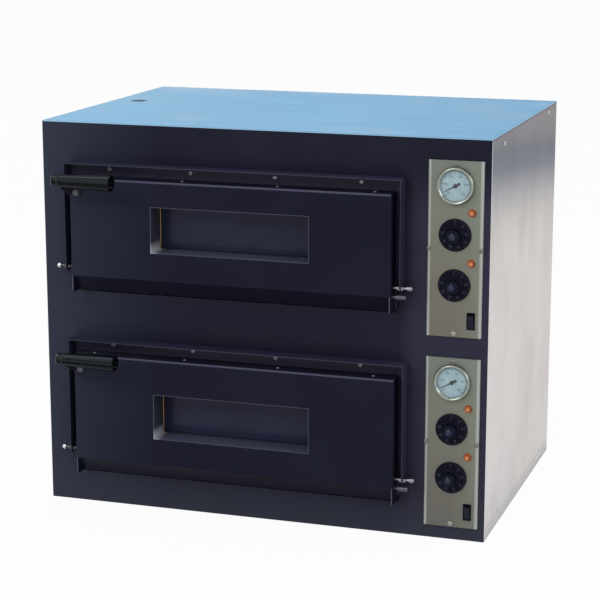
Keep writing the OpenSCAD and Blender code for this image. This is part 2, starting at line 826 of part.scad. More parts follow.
module gauge_glasses() {
    color("lightcyan") for (deck = DECKS) {
        at_panel(deck) rod_y(0, [dial_y - dial_drop + 0.6, dial_y - dial_drop + 0.6 + glass_t],
                             gauge_z, dial_r - run_gap);
    }
}

module gauge_needle(deck) {
    tip_w = 0.5;
    root_w = 1.6;
    thick = needle_y[1] - needle_y[0];
    color("black") at_panel(deck) translate([0, needle_y[1], gauge_z]) rotate([90, 0, 0]) difference() {
        union() {
            cylinder(r = 4, h = thick);
            rotate([0, 0, needle_rest]) linear_extrude(thick)
                polygon([[-needle_tail, -root_w], [-needle_tail, root_w], [needle_len, tip_w], [needle_len, -tip_w]]);
        }
        translate([0, 0, -eps]) cylinder(r = needle_pin_r + run_gap, h = thick + 2 * eps);
    }
}

module thermostats() {
    color("gray") for (deck = DECKS, z = knob_zs) {
        at_panel(deck) translate([0, 0, z]) difference() {
            union() {
                block([-thermostat_w / 2, thermostat_w / 2], [panel_back, thermostat_y],
                      [-thermostat_w / 2, thermostat_w / 2]);
                rod_y(0, [-panel_proud - 0.2, panel_back], 0, bush_out_r);
            }
            rod_y(0, [-panel_proud - eps, 10], 0, spindle_r + run_gap);
        }
    }
}

// A knob and the spindle pressed into it
module knob(deck, z) {
    y0 = -panel_proud - knob_gap;
    skirt_t = 3;
    bore_len = knob_len - 6;
    flutes = 10;
    at_panel(deck) translate([0, 0, z]) {
        color("#1c1c1e") difference() {
            turned_y(0, y0, 0, [[0, 0], [knob_r, 0], [knob_r, skirt_t - 1], [knob_r - 1.5, skirt_t],
                     [knob_grip_r + 5, skirt_t + 1.5], [knob_grip_r + 1.2, skirt_t + 4.5],
                     [knob_grip_r, knob_len - 2], [knob_grip_r - 2, knob_len], [0, knob_len]]);
            rod_y(0, [y0 - bore_len, y0 + eps], 0, spindle_r + run_gap / 2);
            for (i = [0 : flutes - 1]) {
                a = (i + 0.5) * 360 / flutes;
                rod_y((knob_grip_r + 2.4) * sin(a), [y0 - knob_len - eps, y0 - skirt_t - 6],
                      (knob_grip_r + 2.4) * cos(a), 3);
            }
        }
        color("silver") rod_y(0, [y0 - bore_len + 0.5, 9], 0, spindle_r);
    }
}

module pilot_lamps() {
    lens_h = 5;
    color("orange") for (deck = DECKS, z = lamp_zs) {
        at_panel(deck) {
            cone_y(lamp_x, [-panel_proud - lens_h, -panel_proud - 1.5], z, lamp_r - 2.6, lamp_r - 1);
            rod_y(lamp_x, [-panel_proud - 1.5, -panel_proud], z, lamp_r);
            rod_y(lamp_x, [-panel_proud, 18], z, lamp_r - 1.6);
        }
    }
}

module switch_bodies() {
    bezel_y = [-panel_proud - 1.8, -panel_proud];
    half = [switch_w / 2, switch_h / 2];
    color("#18181a") for (deck = DECKS) {
        at_panel(deck) translate([switch_x, 0, switch_z]) difference() {
            union() {
                block([-half.x, half.x], bezel_y, [-half.y, half.y]);
                block([-half.x + switch_wall, half.x - switch_wall], [-panel_proud, switch_y],
                      [-half.y + switch_wall, half.y - switch_wall]);
            }
            block([-half.x + switch_rim, half.x - switch_rim], [bezel_y[0] - eps, switch_y - 5],
                  [-half.y + switch_rim, half.y - switch_rim]);
            rod_x([-half.x + switch_wall - eps, half.x - switch_wall + eps], rocker_y, 0, rocker_pin_r + run_gap);
        }
    }
}

module rocker(deck) {
    rise = rocker_half * tan(rocker_tilt);
    front = -5;
    color("#0f0f10") at_panel(deck) translate([switch_x, rocker_y, switch_z]) rotate([rocker_tilt, 0, 0]) {
        prism_x([-rocker_w / 2, rocker_w / 2], [[front, 0], [front - rise, rocker_half], [-1, rocker_half],
                [4, 3], [4, -3], [-1, -rocker_half], [front - rise, -rocker_half]]);
        rod_x([-switch_w / 2 + switch_wall + 0.2, switch_w / 2 - switch_wall - 0.2], 0, 0, rocker_pin_r);
    }
}

// Straight sensor bulbs in the chambers, and the thin tubes that lead from them to the controls
module sensor_bulbs() {
    x_mid = panel_x - 12;
    bulb_x = [mouth_x[1] - bulb_len, mouth_x[1] + 4];
    turn_y = 150;
    color("peru") for (deck = DECKS) {
        at_deck(deck) {
            sensor_line(bulb_x, sensor_ys[0], top_heater_z, x_mid, thermostat_y + fit_gap,
                        panel_rise + knob_zs[0] + 10, turn_y);
            sensor_line(bulb_x, sensor_ys[0], bottom_heater_z, x_mid, thermostat_y + fit_gap,
                        panel_rise + knob_zs[1] + 10, turn_y);
            sensor_line(bulb_x, sensor_ys[1], top_heater_z, panel_x, gauge_can_y + fit_gap,
                        panel_rise + gauge_z, turn_y + 30);
        }
    }
}

module sensor_line(bulb_x, y, z, x_end, y_end, z_end, turn_y) {
    rod_x(bulb_x, y, z, bulb_r);
    wire([[bulb_x[1] - 1, y, z], [partition_x + 40, y, z], [x_end, turn_y, z_end], [x_end, y_end, z_end]],
         capillary_r);
}

// ---- Hoods and hinges ----

function hood_x(deck) = [door_x0 - hood_gap - hood_t, door_x0 + door_ws[deck] + hood_gap + hood_t];

module door_surround(deck) {
    hx = hood_x(deck);
    top = door_rises[deck] + hood_rise;
    plate_y = [-hood_t, 0];
    color("#2b2b40") at_deck(deck) difference() {
        union() {
            block(hx, plate_y, [lug_top, top]);
            block(hx, [-hood_depth, 0], [top - hood_t, top]);
            for (x = [hx[0], hx[1] - hood_t]) {
                block([x, x + hood_t], [-hood_depth, 0], [lug_top, top]);
                block([x, x + hood_t], [-pivot_out - lug_r, -pivot_out + lug_r], [0, lug_top + eps]);
                rod_x([x, x + hood_t], -pivot_out, 0, lug_r);
            }
        }
        door_cutout(deck, [-hood_t - eps, eps]);
        rod_x([hx[0] - eps, hx[1] + eps], -pivot_out, 0, hinge_r + fit_gap);
        for (x = surround_screws_x) {
            screw_hole_y(door_x0 + x, top - band_screw_drop);
        }
    }
}

module surround_screws() {
    color("whitesmoke") for (deck = DECKS, x = surround_screws_x) {
        at_deck(deck) screw_y(door_x0 + x, -hood_t, door_rises[deck] + hood_rise - band_screw_drop);
    }
}

// A hinge bolt drawn on the right: it passes through the lug and its tip carries the door's bush
module hinge_bolt(flange_x, door_end) {
    nut_t = 5;
    nut_r = 6;
    cap_r = 5;
    cap_len = 10;
    end = flange_x + bolt_out;
    rod_x([door_end - bush_len + 1, end - 2], -pivot_out, 0, hinge_r);
    hex_x([flange_x, flange_x + nut_t], -pivot_out, 0, nut_r);
    hex_x([flange_x - hood_t - nut_t, flange_x - hood_t], -pivot_out, 0, nut_r);
    rod_x([end - cap_len, end - cap_r], -pivot_out, 0, cap_r);
    intersection() {
        translate([end - cap_r, -pivot_out, 0]) sphere(r = cap_r);
        block([end - cap_r, end + eps], [-pivot_out - cap_r, -pivot_out + cap_r], [-cap_r, cap_r]);
    }
}

module hinge_bolts() {
    color("silver") for (deck = DECKS) {
        at_deck(deck) {
            hinge_bolt(hood_x(deck)[1], door_x0 + door_ws[deck]);
            mirror([1, 0, 0]) hinge_bolt(-hood_x(deck)[0], -door_x0);
        }
    }
}

// ---- Doors ----

// Door section in the YZ plane, drawn in by t and reaching back to y = back
function door_outline(rise, t, back) = [
    [-door_proud + t, -door_chin + bevel_k * t],
    [-door_proud + t, rise - t],
    [back, rise - t],
    [back, -door_drop + t],
    [-door_proud + door_drop - door_chin + bevel_k * t, -door_drop + t]
];

module door_shell(deck) {
    x = [door_x0, door_x0 + door_ws[deck]];
    rise = door_rises[deck];
    color("#23233a") at_deck(deck) difference() {
        union() {
            difference() {
                prism_x(x, door_outline(rise, 0, -door_back));
                prism_x([x[0] + door_t, x[1] - door_t], door_outline(rise, door_t, eps));
            }
            rod_x([x[0], x[0] + bush_len], -pivot_out, 0, bush_r);
            rod_x([x[1] - bush_len, x[1]], -pivot_out, 0, bush_r);
        }
        block(window_x, [-door_proud - eps, -door_proud + door_t + eps], window_z);
        rod_x([x[0] - eps, x[0] + bush_len + eps], -pivot_out, 0, hinge_r + run_gap);
        rod_x([x[1] - bush_len - eps, x[1] + eps], -pivot_out, 0, hinge_r + run_gap);
        rod_x([x[1] - door_t - eps, x[1] + eps], -pivot_out + stop_dy, stop_dz, hinge_r + fit_gap);
        for (sx = door_screws_x) {
            rod_z(door_x0 + sx, -door_proud / 2, [rise - door_t - eps, rise + eps], shank_r + fit_gap);
        }
        for (z = bracket_bolt_zs(rise)) {
            rod_y(bracket_bolt_x, [-door_proud - eps, -door_proud + door_t + eps], z, hinge_r + fit_gap);
        }
    }
}

bracket_bolt_x = door_x0 + tab_w / 2 + 3;
function bracket_bolt_zs(rise) = [rise - tab_top - 9, rise - tab_top - tab_h + 7];

module door_inner_panel(deck) {
    inset = door_t + fit_gap;
    x = [door_x0 + inset, door_x0 + door_ws[deck] - inset];
    y = [-door_back - door_t, -door_back];
    plug_x = [mouth_x[0] + plug_side, mouth_x[1] - plug_side];
    color("silver") at_deck(deck) difference() {
        union() {
            block(x, y, [-door_drop + inset, door_rises[deck] - inset]);
            block(plug_x, [y[0], plug_in], plug_z);
        }
        block([plug_x[0] + door_t, plug_x[1] - door_t], [y[0] - eps, plug_in - door_t],
              [plug_z[0] + door_t, plug_z[1] - door_t]);
        block(window_x, [0, plug_in + eps], window_z);
    }
}

module door_insulation(deck) {
    inset = door_t + fit_gap;
    x = [door_x0 + inset, door_x0 + door_ws[deck] - inset];
    back = -door_back - door_t - fit_gap;
    plug_x = [mouth_x[0] + plug_side + inset, mouth_x[1] - plug_side - inset];
    grow = fit_gap;
    color("khaki") at_deck(deck) difference() {
        union() {
            block(x, [-door_proud + inset, back], [bush_r + 4, door_rises[deck] - inset - 6]);
            block(plug_x, [back - eps, plug_in - inset], [plug_z[0] + inset, plug_z[1] - inset]);
        }
        block([window_x[0] - grow, window_x[1] + grow], [-door_proud, plug_in], [window_z[0] - grow, window_z[1] + grow]);
        block([window_x[0] - pane_lap - grow, window_x[1] + pane_lap + grow], [pane_y[0] - grow, plug_in],
              [window_z[0] - pane_lap - grow, window_z[1] + pane_lap + grow]);
        for (z = bracket_bolt_zs(door_rises[deck])) {
            rod_y(bracket_bolt_x, [-door_proud, -door_proud + 10], z, hinge_r + 5);
        }
    }
}

module window_sleeve(deck) {
    g = 0.1;
    t = sleeve_t + g;
    color("dimgray") at_deck(deck) difference() {
        block([window_x[0] + g, window_x[1] - g], [-door_proud, pane_y[0]], [window_z[0] + g, window_z[1] - g]);
        block([window_x[0] + t, window_x[1] - t], [-door_proud - eps, pane_y[0] + eps],
              [window_z[0] + t, window_z[1] - t]);
    }
}

module window_pane(deck) {
    color("#303038") at_deck(deck)
        block([window_x[0] - pane_lap, window_x[1] + pane_lap], pane_y, [window_z[0] - pane_lap, window_z[1] + pane_lap]);
}

module handle_bracket(deck) {
    rise = door_rises[deck];
    zc = rise + grip_up;
    tab_z = [rise - tab_top - tab_h, rise - tab_top];
    x = [door_x0, door_x0 + bracket_t];
    color("#1e1e20") at_deck(deck) difference() {
        union() {
            prism_x(x, [[-door_proud, tab_z[0]], [-door_proud, tab_z[1]], [grip_y + 2, zc + bracket_hub_r - 1],
                    [grip_y - bracket_hub_r + 3, zc - bracket_hub_r + 3]]);
            rod_x(x, grip_y, zc, bracket_hub_r);
            block([x[0], x[0] + tab_w], [-door_proud - bracket_t, -door_proud], tab_z);
        }
        rod_x([x[0] - eps, x[1] + eps], grip_y, zc, handle_rod_r + run_gap);
        for (z = bracket_bolt_zs(rise)) {
            rod_y(bracket_bolt_x, [-door_proud - bracket_t - eps, -door_proud + eps], z, hinge_r + fit_gap);
        }
    }
}

// Tapered tube, open at its right end, with a ferrule on the bracket's left side
module handle_grip(deck) {
    zc = door_rises[deck] + grip_up;
    x0 = door_x0 + bracket_t;
    wall = 2.5;
    neck = 16;
    bore = handle_rod_r + run_gap;
    profile = [[bore, 0], [grip_r_small - 1, 0], [grip_r_small, 1], [grip_r_big, grip_len - 6],
               [grip_r_big, grip_len - 1.5], [grip_r_big - 1.2, grip_len], [grip_r_big - wall, grip_len],
               [grip_r_big - wall, grip_len - 30], [bore + 3, neck + 40], [bore, neck]];
    ferrule = [[bore, 0], [grip_r_small - 0.5, 0], [grip_r_small - 0.5, ferrule_len - 3],
               [grip_r_small - 3.5, ferrule_len], [0, ferrule_len], [0, ferrule_len - ferrule_cap_t],
               [bore, ferrule_len - ferrule_cap_t]];
    color("#151517") at_deck(deck) {
        translate([x0, grip_y, zc]) rotate([0, 90, 0]) rotate_extrude() polygon(profile);
        translate([door_x0, grip_y, zc]) rotate([0, -90, 0]) rotate_extrude() polygon(ferrule);
    }
}

// Door-top screws, bracket bolts, the grip's rod and the stop bolt that ends the door's swing
module door_fasteners(deck) {
    rise = door_rises[deck];
    end = door_x0 + door_ws[deck];
    shank = 8;
    sleeve_len = 19;
    zc = rise + grip_up;
    rod_end = door_x0 + bracket_t + 24;
    color("silver") at_deck(deck) {
        for (sx = door_screws_x) {
            translate([door_x0 + sx, -door_proud / 2, rise]) cylinder(r1 = head_r, r2 = head_r * 0.72, h = head_t);
            rod_z(door_x0 + sx, -door_proud / 2, [rise - screw_grip, rise], shank_r);
        }
        for (z = bracket_bolt_zs(rise)) {
            face = -door_proud - bracket_t;
            rod_y(bracket_bolt_x, [face, -door_proud + 8], z, hinge_r);
            rod_y(bracket_bolt_x, [face - 3, face], z, hinge_r + 3);
            hex_y(bracket_bolt_x, [-door_proud + door_t, -door_proud + door_t + 4], z, hinge_r + 3);
        }
        rod_x([door_x0 - ferrule_len + ferrule_cap_t + fit_gap, rod_end], grip_y, zc, handle_rod_r);
        rod_x([end - 6, end + shank], -pivot_out + stop_dy, stop_dz, hinge_r);
        hex_x([end - door_t - 4, end - door_t], -pivot_out + stop_dy, stop_dz, hinge_r + 2.5);
        rod_x([end + shank, end + shank + sleeve_len], -pivot_out + stop_dy, stop_dz, stop_r);
    }
}

base_tray();
side_panel(-1);  // left_side_panel
side_panel(1);  // right_side_panel
top_panel();
rear_panel();
fascia(0);  // lower_fascia
fascia(1);  // upper_fascia
corner_posts();
control_partition();
cabinet_screws();
flue_collar();
flue_manifold();
cable_gland();
terminal_block();
wiring_loom();
chamber_insulation();
chamber_liner(0);  // lower_chamber_liner
chamber_liner(1);  // upper_chamber_liner
baking_stones();
heaters(top_heater_z);  // top_heaters
heaters(bottom_heater_z);  // bottom_heaters
oven_lamps();
thermostats();
sensor_bulbs();
pilot_lamps();
switch_bodies();
gauge_glasses();
panel_screws();
surround_screws();
hinge_bolts();
door_surround(0);  // lower_door_surround
door_surround(1);  // upper_door_surround
door_shell(0);  // lower_door_shell
door_shell(1);  // upper_door_shell
door_inner_panel(0);  // lower_door_inner_panel
door_inner_panel(1);  // upper_door_inner_panel
door_insulation(0);  // lower_door_insulation
door_insulation(1);  // upper_door_insulation
window_sleeve(0);  // lower_window_sleeve
window_sleeve(1);  // upper_window_sleeve
window_pane(0);  // lower_window_pane
window_pane(1);  // upper_window_pane
handle_bracket(0);  // lower_handle_bracket
handle_bracket(1);  // upper_handle_bracket
handle_grip(0);  // lower_handle_grip
handle_grip(1);  // upper_handle_grip
door_fasteners(0);  // lower_door_fasteners
door_fasteners(1);  // upper_door_fasteners
control_panel(0);  // lower_control_panel
control_panel(1);  // upper_control_panel
gauge_case(0);  // lower_gauge_case
gauge_case(1);  // upper_gauge_case
gauge_needle(0);  // lower_gauge_needle
gauge_needle(1);  // upper_gauge_needle
knob(0, knob_zs[0]);  // lower_top_knob
knob(1, knob_zs[0]);  // upper_top_knob
knob(0, knob_zs[1]);  // lower_bottom_knob
knob(1, knob_zs[1]);  // upper_bottom_knob
rocker(0);  // lower_rocker
rocker(1);  // upper_rocker
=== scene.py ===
"""Looks of the countertop double-deck pizza oven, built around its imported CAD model. Units are metres."""
import json
import math

import bmesh
import bpy
from mathutils import Matrix, Vector


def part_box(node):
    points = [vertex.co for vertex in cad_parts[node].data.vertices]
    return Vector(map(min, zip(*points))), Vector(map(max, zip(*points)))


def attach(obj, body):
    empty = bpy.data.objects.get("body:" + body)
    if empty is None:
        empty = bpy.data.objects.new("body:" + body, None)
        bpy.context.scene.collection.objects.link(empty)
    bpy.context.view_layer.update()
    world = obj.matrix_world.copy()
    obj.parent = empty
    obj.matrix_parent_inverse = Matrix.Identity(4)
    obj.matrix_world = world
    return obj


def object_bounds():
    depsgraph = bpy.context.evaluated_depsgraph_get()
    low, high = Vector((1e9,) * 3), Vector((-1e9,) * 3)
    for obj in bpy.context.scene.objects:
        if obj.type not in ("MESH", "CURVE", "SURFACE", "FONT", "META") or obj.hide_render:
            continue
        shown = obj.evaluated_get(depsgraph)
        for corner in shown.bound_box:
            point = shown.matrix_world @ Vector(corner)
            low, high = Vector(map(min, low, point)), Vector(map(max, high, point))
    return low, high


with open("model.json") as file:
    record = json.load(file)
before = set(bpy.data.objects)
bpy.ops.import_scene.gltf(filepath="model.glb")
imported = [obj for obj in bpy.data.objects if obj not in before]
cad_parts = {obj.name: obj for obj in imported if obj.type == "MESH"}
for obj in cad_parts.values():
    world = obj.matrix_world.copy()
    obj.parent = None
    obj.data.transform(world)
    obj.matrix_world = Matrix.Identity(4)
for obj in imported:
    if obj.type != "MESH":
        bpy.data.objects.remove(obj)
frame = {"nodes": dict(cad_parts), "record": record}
cad_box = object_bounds()
MM = 0.001
DECKS = ("lower", "upper")


# ---- Colours: written as they look, 0 to 255, and turned into linear light ----

def srgb(r, g, b):
    def linear(c):
        c /= 255
        return c / 12.92 if c <= 0.04045 else ((c + 0.055) / 1.055) ** 2.4
    return (linear(r), linear(g), linear(b), 1.0)


# ---- Camera ----

def make_camera():
    """A long lens that looks down on the front and the right side."""
    azimuth, elevation = math.radians(18.07), math.radians(12.68)
    data = bpy.data.cameras.new("camera")
    data.sensor_width = 36
    data.lens = 114.53
    data.clip_end = 50
    camera = bpy.data.objects.new("camera", data)
    camera.location = (1.1607, -3.6198, 1.2223)
    camera.rotation_euler = (math.pi / 2 - elevation, 0, azimuth)
    bpy.context.scene.collection.objects.link(camera)
    bpy.context.scene.camera = camera


# ---- Node materials ----

def calculate(tree, operation, *values):
    """A math node; each value is a socket or a plain number."""
    node = tree.nodes.new("ShaderNodeMath")
    node.operation = operation
    for socket, value in zip(node.inputs, values):
        if isinstance(value, bpy.types.NodeSocket):
            tree.links.new(value, socket)
        else:
            socket.default_value = value
    return node.outputs["Value"]


class Shader:
    """A Principled material with helpers that wire procedural detail in object space (metres)."""

    def __init__(self, name, colour, rough, metal=0.0, specular=0.5):
        self.name = name
        self.mat = bpy.data.materials.new(name)
        self.mat.use_nodes = True
        self.tree = self.mat.node_tree
        self.bsdf = self.tree.nodes["Principled BSDF"]
        self.set("Base Color", colour)
        self.set("Roughness", rough)
        self.set("Metallic", metal)
        self.set("Specular IOR Level", specular)
        self.base = colour
        self.colour = None
        place = self.node("ShaderNodeTexCoord")
        self.coords = place.outputs["Object"]
        self.normals = place.outputs["Normal"]

    def set(self, socket, value):
        self.bsdf.inputs[socket].default_value = value

    def node(self, kind, **inputs):
        made = self.tree.nodes.new(kind)
        for key, value in inputs.items():
            made.inputs[key.replace("_", " ")].default_value = value
        return made

    def link(self, a, b):
        self.tree.links.new(a, b)

    def part(self, vector, axis):
        """One of a vector's three numbers."""
        split = self.node("ShaderNodeSeparateXYZ")
        self.link(vector, split.inputs["Vector"])
        return split.outputs[axis]

    def axis(self, name):
        """Place along an object axis, in metres."""
        return self.part(self.coords, name)

    def facing(self, name):
        """How far the surface's own normal points along an object axis, -1 to 1."""
        return self.part(self.normals, name)

    def noise(self, scale, detail=3.0, stretch=(1, 1, 1), rough=0.5):
        mapping = self.node("ShaderNodeMapping", Scale=stretch)
        self.link(self.coords, mapping.inputs["Vector"])
        noise = self.node("ShaderNodeTexNoise", Scale=scale, Detail=detail, Roughness=rough)
        self.link(mapping.outputs["Vector"], noise.inputs["Vector"])
        return noise.outputs["Fac"]

    def both(self, a, b):
        """Two factors multiplied."""
        return calculate(self.tree, "MULTIPLY", a, b)

    def away(self, value, middle):
        """Distance of a value from a middle one."""
        return calculate(self.tree, "ABSOLUTE", calculate(self.tree, "SUBTRACT", value, middle))

    def spread(self, value, start, end, out_start, out_end):
        """A value's way from start to end, kept between out_start and out_end."""
        ranged = self.node("ShaderNodeMapRange", From_Min=start, From_Max=end,
                           To_Min=out_start, To_Max=out_end)
        self.link(value, ranged.inputs["Value"])
        return ranged.outputs["Result"]

    def paint(self, colour):
        self.colour = colour
        self.link(colour, self.bsdf.inputs["Base Color"])

    def tint(self, factor, colour, blend="MIX"):
        """Blends another colour in where factor is 1."""
        mix = self.tree.nodes.new("ShaderNodeMix")
        mix.data_type = "RGBA"
        mix.blend_type = blend
        if self.colour is None:
            mix.inputs["A"].default_value = self.base
        else:
            self.link(self.colour, mix.inputs["A"])
        mix.inputs["B"].default_value = colour
        self.link(factor, mix.inputs["Factor"])
        self.paint(mix.outputs["Result"])

    def wash(self, value, start, end, share, colour, blend="MIX"):
        """Blends a colour in, up to a share, as a value goes from start to end."""
        self.tint(self.spread(value, start, end, 0, share), colour, blend)

    def ramp(self, value, stops):
        """Takes the colour from a ramp of (position, colour) stops."""
        ramp = self.tree.nodes.new("ShaderNodeValToRGB")
        elements = ramp.color_ramp.elements
        while len(elements) < len(stops):
            elements.new(0.5)
        for element, (position, colour) in zip(elements, stops):
            element.position = position
            element.color = colour
        self.link(value, ramp.inputs["Fac"])
        self.paint(ramp.outputs["Color"])

    def roughen(self, value, low, high):
        self.link(self.spread(value, 0.3, 0.7, low, high), self.bsdf.inputs["Roughness"])

    def bump(self, value, distance, strength=1.0):
        bump = self.node("ShaderNodeBump", Strength=strength, Distance=distance)
        self.link(value, bump.inputs["Height"])
        self.link(bump.outputs["Normal"], self.bsdf.inputs["Normal"])


def shaded(colour, times, plus=0.0):
    """A linear colour made darker or lighter."""
    return tuple(min(1, c * times + plus) for c in colour[:3]) + (1,)


def brushed(name, colour, rough, along, metal=1.0):
    """Sheet steel brushed along one axis: 'X', 'Y' or 'Z'."""
    stretch = {"X": (1, 60, 60), "Y": (60, 1, 60), "Z": (60, 60, 1)}[along]
    m = Shader(name, colour, rough, metal=metal)
    lines = m.noise(14, detail=4, stretch=stretch, rough=0.65)
    cloud = m.noise(5, detail=3)
    m.wash(lines, 0.35, 0.7, 0.8, shaded(colour, 0.84))
    m.wash(cloud, 0.45, 0.75, 0.5, shaded(colour, 1.12))
    m.roughen(lines, rough * 0.8, rough * 1.25)
    m.bump(lines, 0.04 * MM, 0.5)
    return m


def powder_coat(name, colour, rough=0.42, specular=0.25):
    """Black stoved paint with a fine orange-peel skin and faint paler clouds."""
    m = Shader(name, colour, rough, specular=specular)
    cloud = m.noise(6, detail=3)
    fine = m.noise(900, detail=2)
    m.wash(cloud, 0.42, 0.75, 0.55, shaded(colour, 1.45, 0.002))
    m.roughen(cloud, rough * 0.85, rough * 1.15)
    m.bump(fine, 0.05 * MM, 0.6)
    return m


def moulded(name, colour, rough=0.35, specular=0.5):
    """Plastic, rubber or ceramic with faint wear."""
    m = Shader(name, colour, rough, specular=specular)
    fine = m.noise(1400, detail=2)
    wear = m.noise(60, detail=3)
    m.wash(wear, 0.5, 0.8, 0.4, shaded(colour, 1.6, 0.004))
    m.roughen(wear, rough * 0.85, rough * 1.2)
    m.bump(fine, 0.03 * MM, 0.4)
    return m


def bright_metal(name, colour, rough):
    """Plated or polished metal with uneven shine."""
    m = Shader(name, colour, rough, metal=1.0)
    wear = m.noise(240, detail=3)
    m.wash(wear, 0.5, 0.75, 0.5, shaded(colour, 0.75))
    m.roughen(wear, rough * 0.7, rough * 1.5)
    return m


def black_paint(name, colour=(20, 20, 38), left=(46, 50, 66), specular=0.12):
    """The front's black paint, with painted light making it paler and bluer towards the cabinet's left
    side, the right side and the foot, and painted shade on faces that point down.
    """
    m = powder_coat(name, srgb(*colour), rough=0.45, specular=specular)
    x, z = m.axis("X"), m.axis("Z")
    # painted light: paler and bluer towards the cabinet's left side
    m.wash(x, -0.20, -0.43, 0.95, srgb(*left))
    # painted light: paler towards the right side, fading out towards the top
    painted_light_right = m.both(m.spread(x, 0.27, 0.30, 0, 1), m.spread(z, 0.70, 0.62, 0, 0.9))
    m.tint(painted_light_right, srgb(46, 44, 62))
    # painted light: paler towards the foot
    m.wash(z, 0.10, 0.0, 0.8, srgb(50, 53, 66))
    # painted shade: darker on faces that point down
    m.wash(m.facing("Z"), -0.2, -0.6, 0.8, srgb(22, 22, 36))
    return m


def door_paint():
    """The doors' paint: darker and flatter than the front, with a painted highlight along each top edge."""
    m = black_paint("door_paint", (26, 26, 42), (47, 50, 64), 0.04)
    z, front = m.axis("Z"), m.spread(m.facing("Y"), -0.3, -0.8, 0, 0.9)
    for deck in DECKS:
        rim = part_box(f"{deck}_door_shell")[1].z - 1 * MM
        rim_highlight = m.spread(m.away(z, rim), 3.4 * MM, 1.2 * MM, 0, 1)
        # painted highlight: a pale line along each door's top edge
        m.tint(m.both(rim_highlight, front), srgb(84, 84, 102))
    return m


def cheek_paint():
    """The doors' end plates: painted shade on the sides that face right, and a painted highlight on their
    front edges.
    """
    m = powder_coat("cheek_paint", srgb(34, 35, 48), rough=0.45, specular=0.05)
    # painted shade: darker on the sides that face right
    m.wash(m.facing("X"), 0.4, 0.8, 0.9, srgb(20, 20, 33))
    # painted highlight: pale front edges
    m.wash(m.facing("Y"), -0.6, -0.9, 0.9, srgb(92, 94, 108))
    return m


def lit_hood_paint(deck):
    """The hood's paint: a lighter copy of the front's paint, as painted light in its shaded recess, with a
    paler strip of painted light behind its screws, above the door.
    """
    # painted light: a lighter colour than the front's, against the recess's shade
    m = black_paint(f"hood_paint_{deck}", colour=(40, 39, 60), left=(44, 47, 63))
    door_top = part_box(f"{deck}_door_shell")[1].z
    above = m.spread(m.axis("Z"), door_top - 6 * MM, door_top + 4 * MM, 0, 1)
    front = m.spread(m.facing("Y"), -0.5, -0.9, 0, 0.9)
    # painted light: a paler strip on the front-facing plate above the door
    m.tint(m.both(above, front), srgb(58, 57, 74))
    return m


def side_steel():
    """Right and left panels: warm brushed steel with a painted reflection, a darker, bluish band under the
    top edge, and a painted highlight along the front edge and a painted shadow line along the top edge.
    """
    low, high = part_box("right_side_panel")
    base_seam = 21 * MM
    m = Shader("side_steel", srgb(214, 209, 205), 0.42, metal=0.15, specular=0.2)
    slant = calculate(m.tree, "MULTIPLY_ADD", m.axis("Y"), 0.10, m.axis("Z"))
    height = m.spread(slant, 0.0, cad_box[1][2], 0, 1)
    # painted reflection: the ramp darkens to a bluish band under the top edge
    m.ramp(height, [
        (0.00, srgb(206, 202, 200)), (0.10, srgb(216, 211, 208)), (0.36, srgb(216, 210, 207)),
        (0.50, srgb(216, 210, 206)), (0.68, srgb(212, 206, 201)), (0.76, srgb(196, 191, 187)),
        (0.82, srgb(160, 160, 163)), (0.88, srgb(96, 103, 116)), (0.925, srgb(84, 91, 104)),
        (0.955, srgb(108, 107, 114)), (1.00, srgb(122, 119, 123)),
    ])
    lines = m.noise(10, detail=4, stretch=(60, 60, 1), rough=0.6)
    cloud = m.noise(8, detail=3, stretch=(1, 1, 0.6))
    cool = m.noise(6, detail=3, stretch=(1, 1.4, 0.8))
    m.wash(lines, 0.35, 0.75, 0.14, srgb(140, 138, 138))
    m.wash(cloud, 0.48, 0.72, 0.3, srgb(214, 198, 194), "MULTIPLY")
    m.wash(cool, 0.5, 0.75, 0.35, srgb(222, 228, 234), "MULTIPLY")
    # painted highlight along the front edge
    m.wash(m.axis("Y"), low.y + 5 * MM, low.y + 3 * MM, 0.75, srgb(214, 218, 226))
    # painted shadow: a dark line along the top edge, under the film
    m.wash(m.axis("Z"), high.z - 4.5 * MM, high.z - 2.5 * MM, 0.85, srgb(52, 58, 70))
    m.wash(m.away(m.axis("Z"), base_seam), 1.4 * MM, 0.6 * MM, 0.6, srgb(96, 94, 98))
    m.roughen(lines, 0.38, 0.5)
    m.bump(lines, 0.04 * MM, 0.4)
    return m


def panel_steel():
    """Control panels: grey-green brushed steel, darker towards each foot, with painted highlights on the
    rolled sides.
    """
    low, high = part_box("lower_control_panel")
    other_low, other_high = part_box("upper_control_panel")
    m = Shader("panel_steel", srgb(128, 130, 121), 0.42, metal=0.3, specular=0.25)
    total = other_high.z
    m.ramp(m.spread(m.axis("Z"), 0.0, total, 0, 1), [
        (low.z / total, srgb(104, 101, 95)), (low.z / total + 0.16, srgb(116, 113, 104)),
        (high.z / total - 0.1, srgb(124, 127, 116)), (high.z / total, srgb(118, 125, 117)),
        (other_low.z / total, srgb(112, 107, 98)), (other_low.z / total + 0.16, srgb(120, 117, 106)),
        (0.88, srgb(124, 127, 116)), (1.0, srgb(118, 125, 117)),
    ])
    lines = m.noise(16, detail=4, stretch=(60, 60, 1), rough=0.6)
    m.wash(lines, 0.35, 0.75, 0.25, srgb(96, 98, 88))
    middle, half = (low.x + high.x) / 2, (high.x - low.x) / 2
    x = m.axis("X")
    m.wash(x, middle, middle + half, 0.45, srgb(128, 138, 122))
    # painted highlight: bright strips along the rolled sides
    m.wash(m.away(x, middle), half - 6.5 * MM, half - 4.5 * MM, 0.8, srgb(172, 175, 170))
    m.roughen(lines, 0.36, 0.5)
    m.bump(lines, 0.03 * MM, 0.4)
    return m


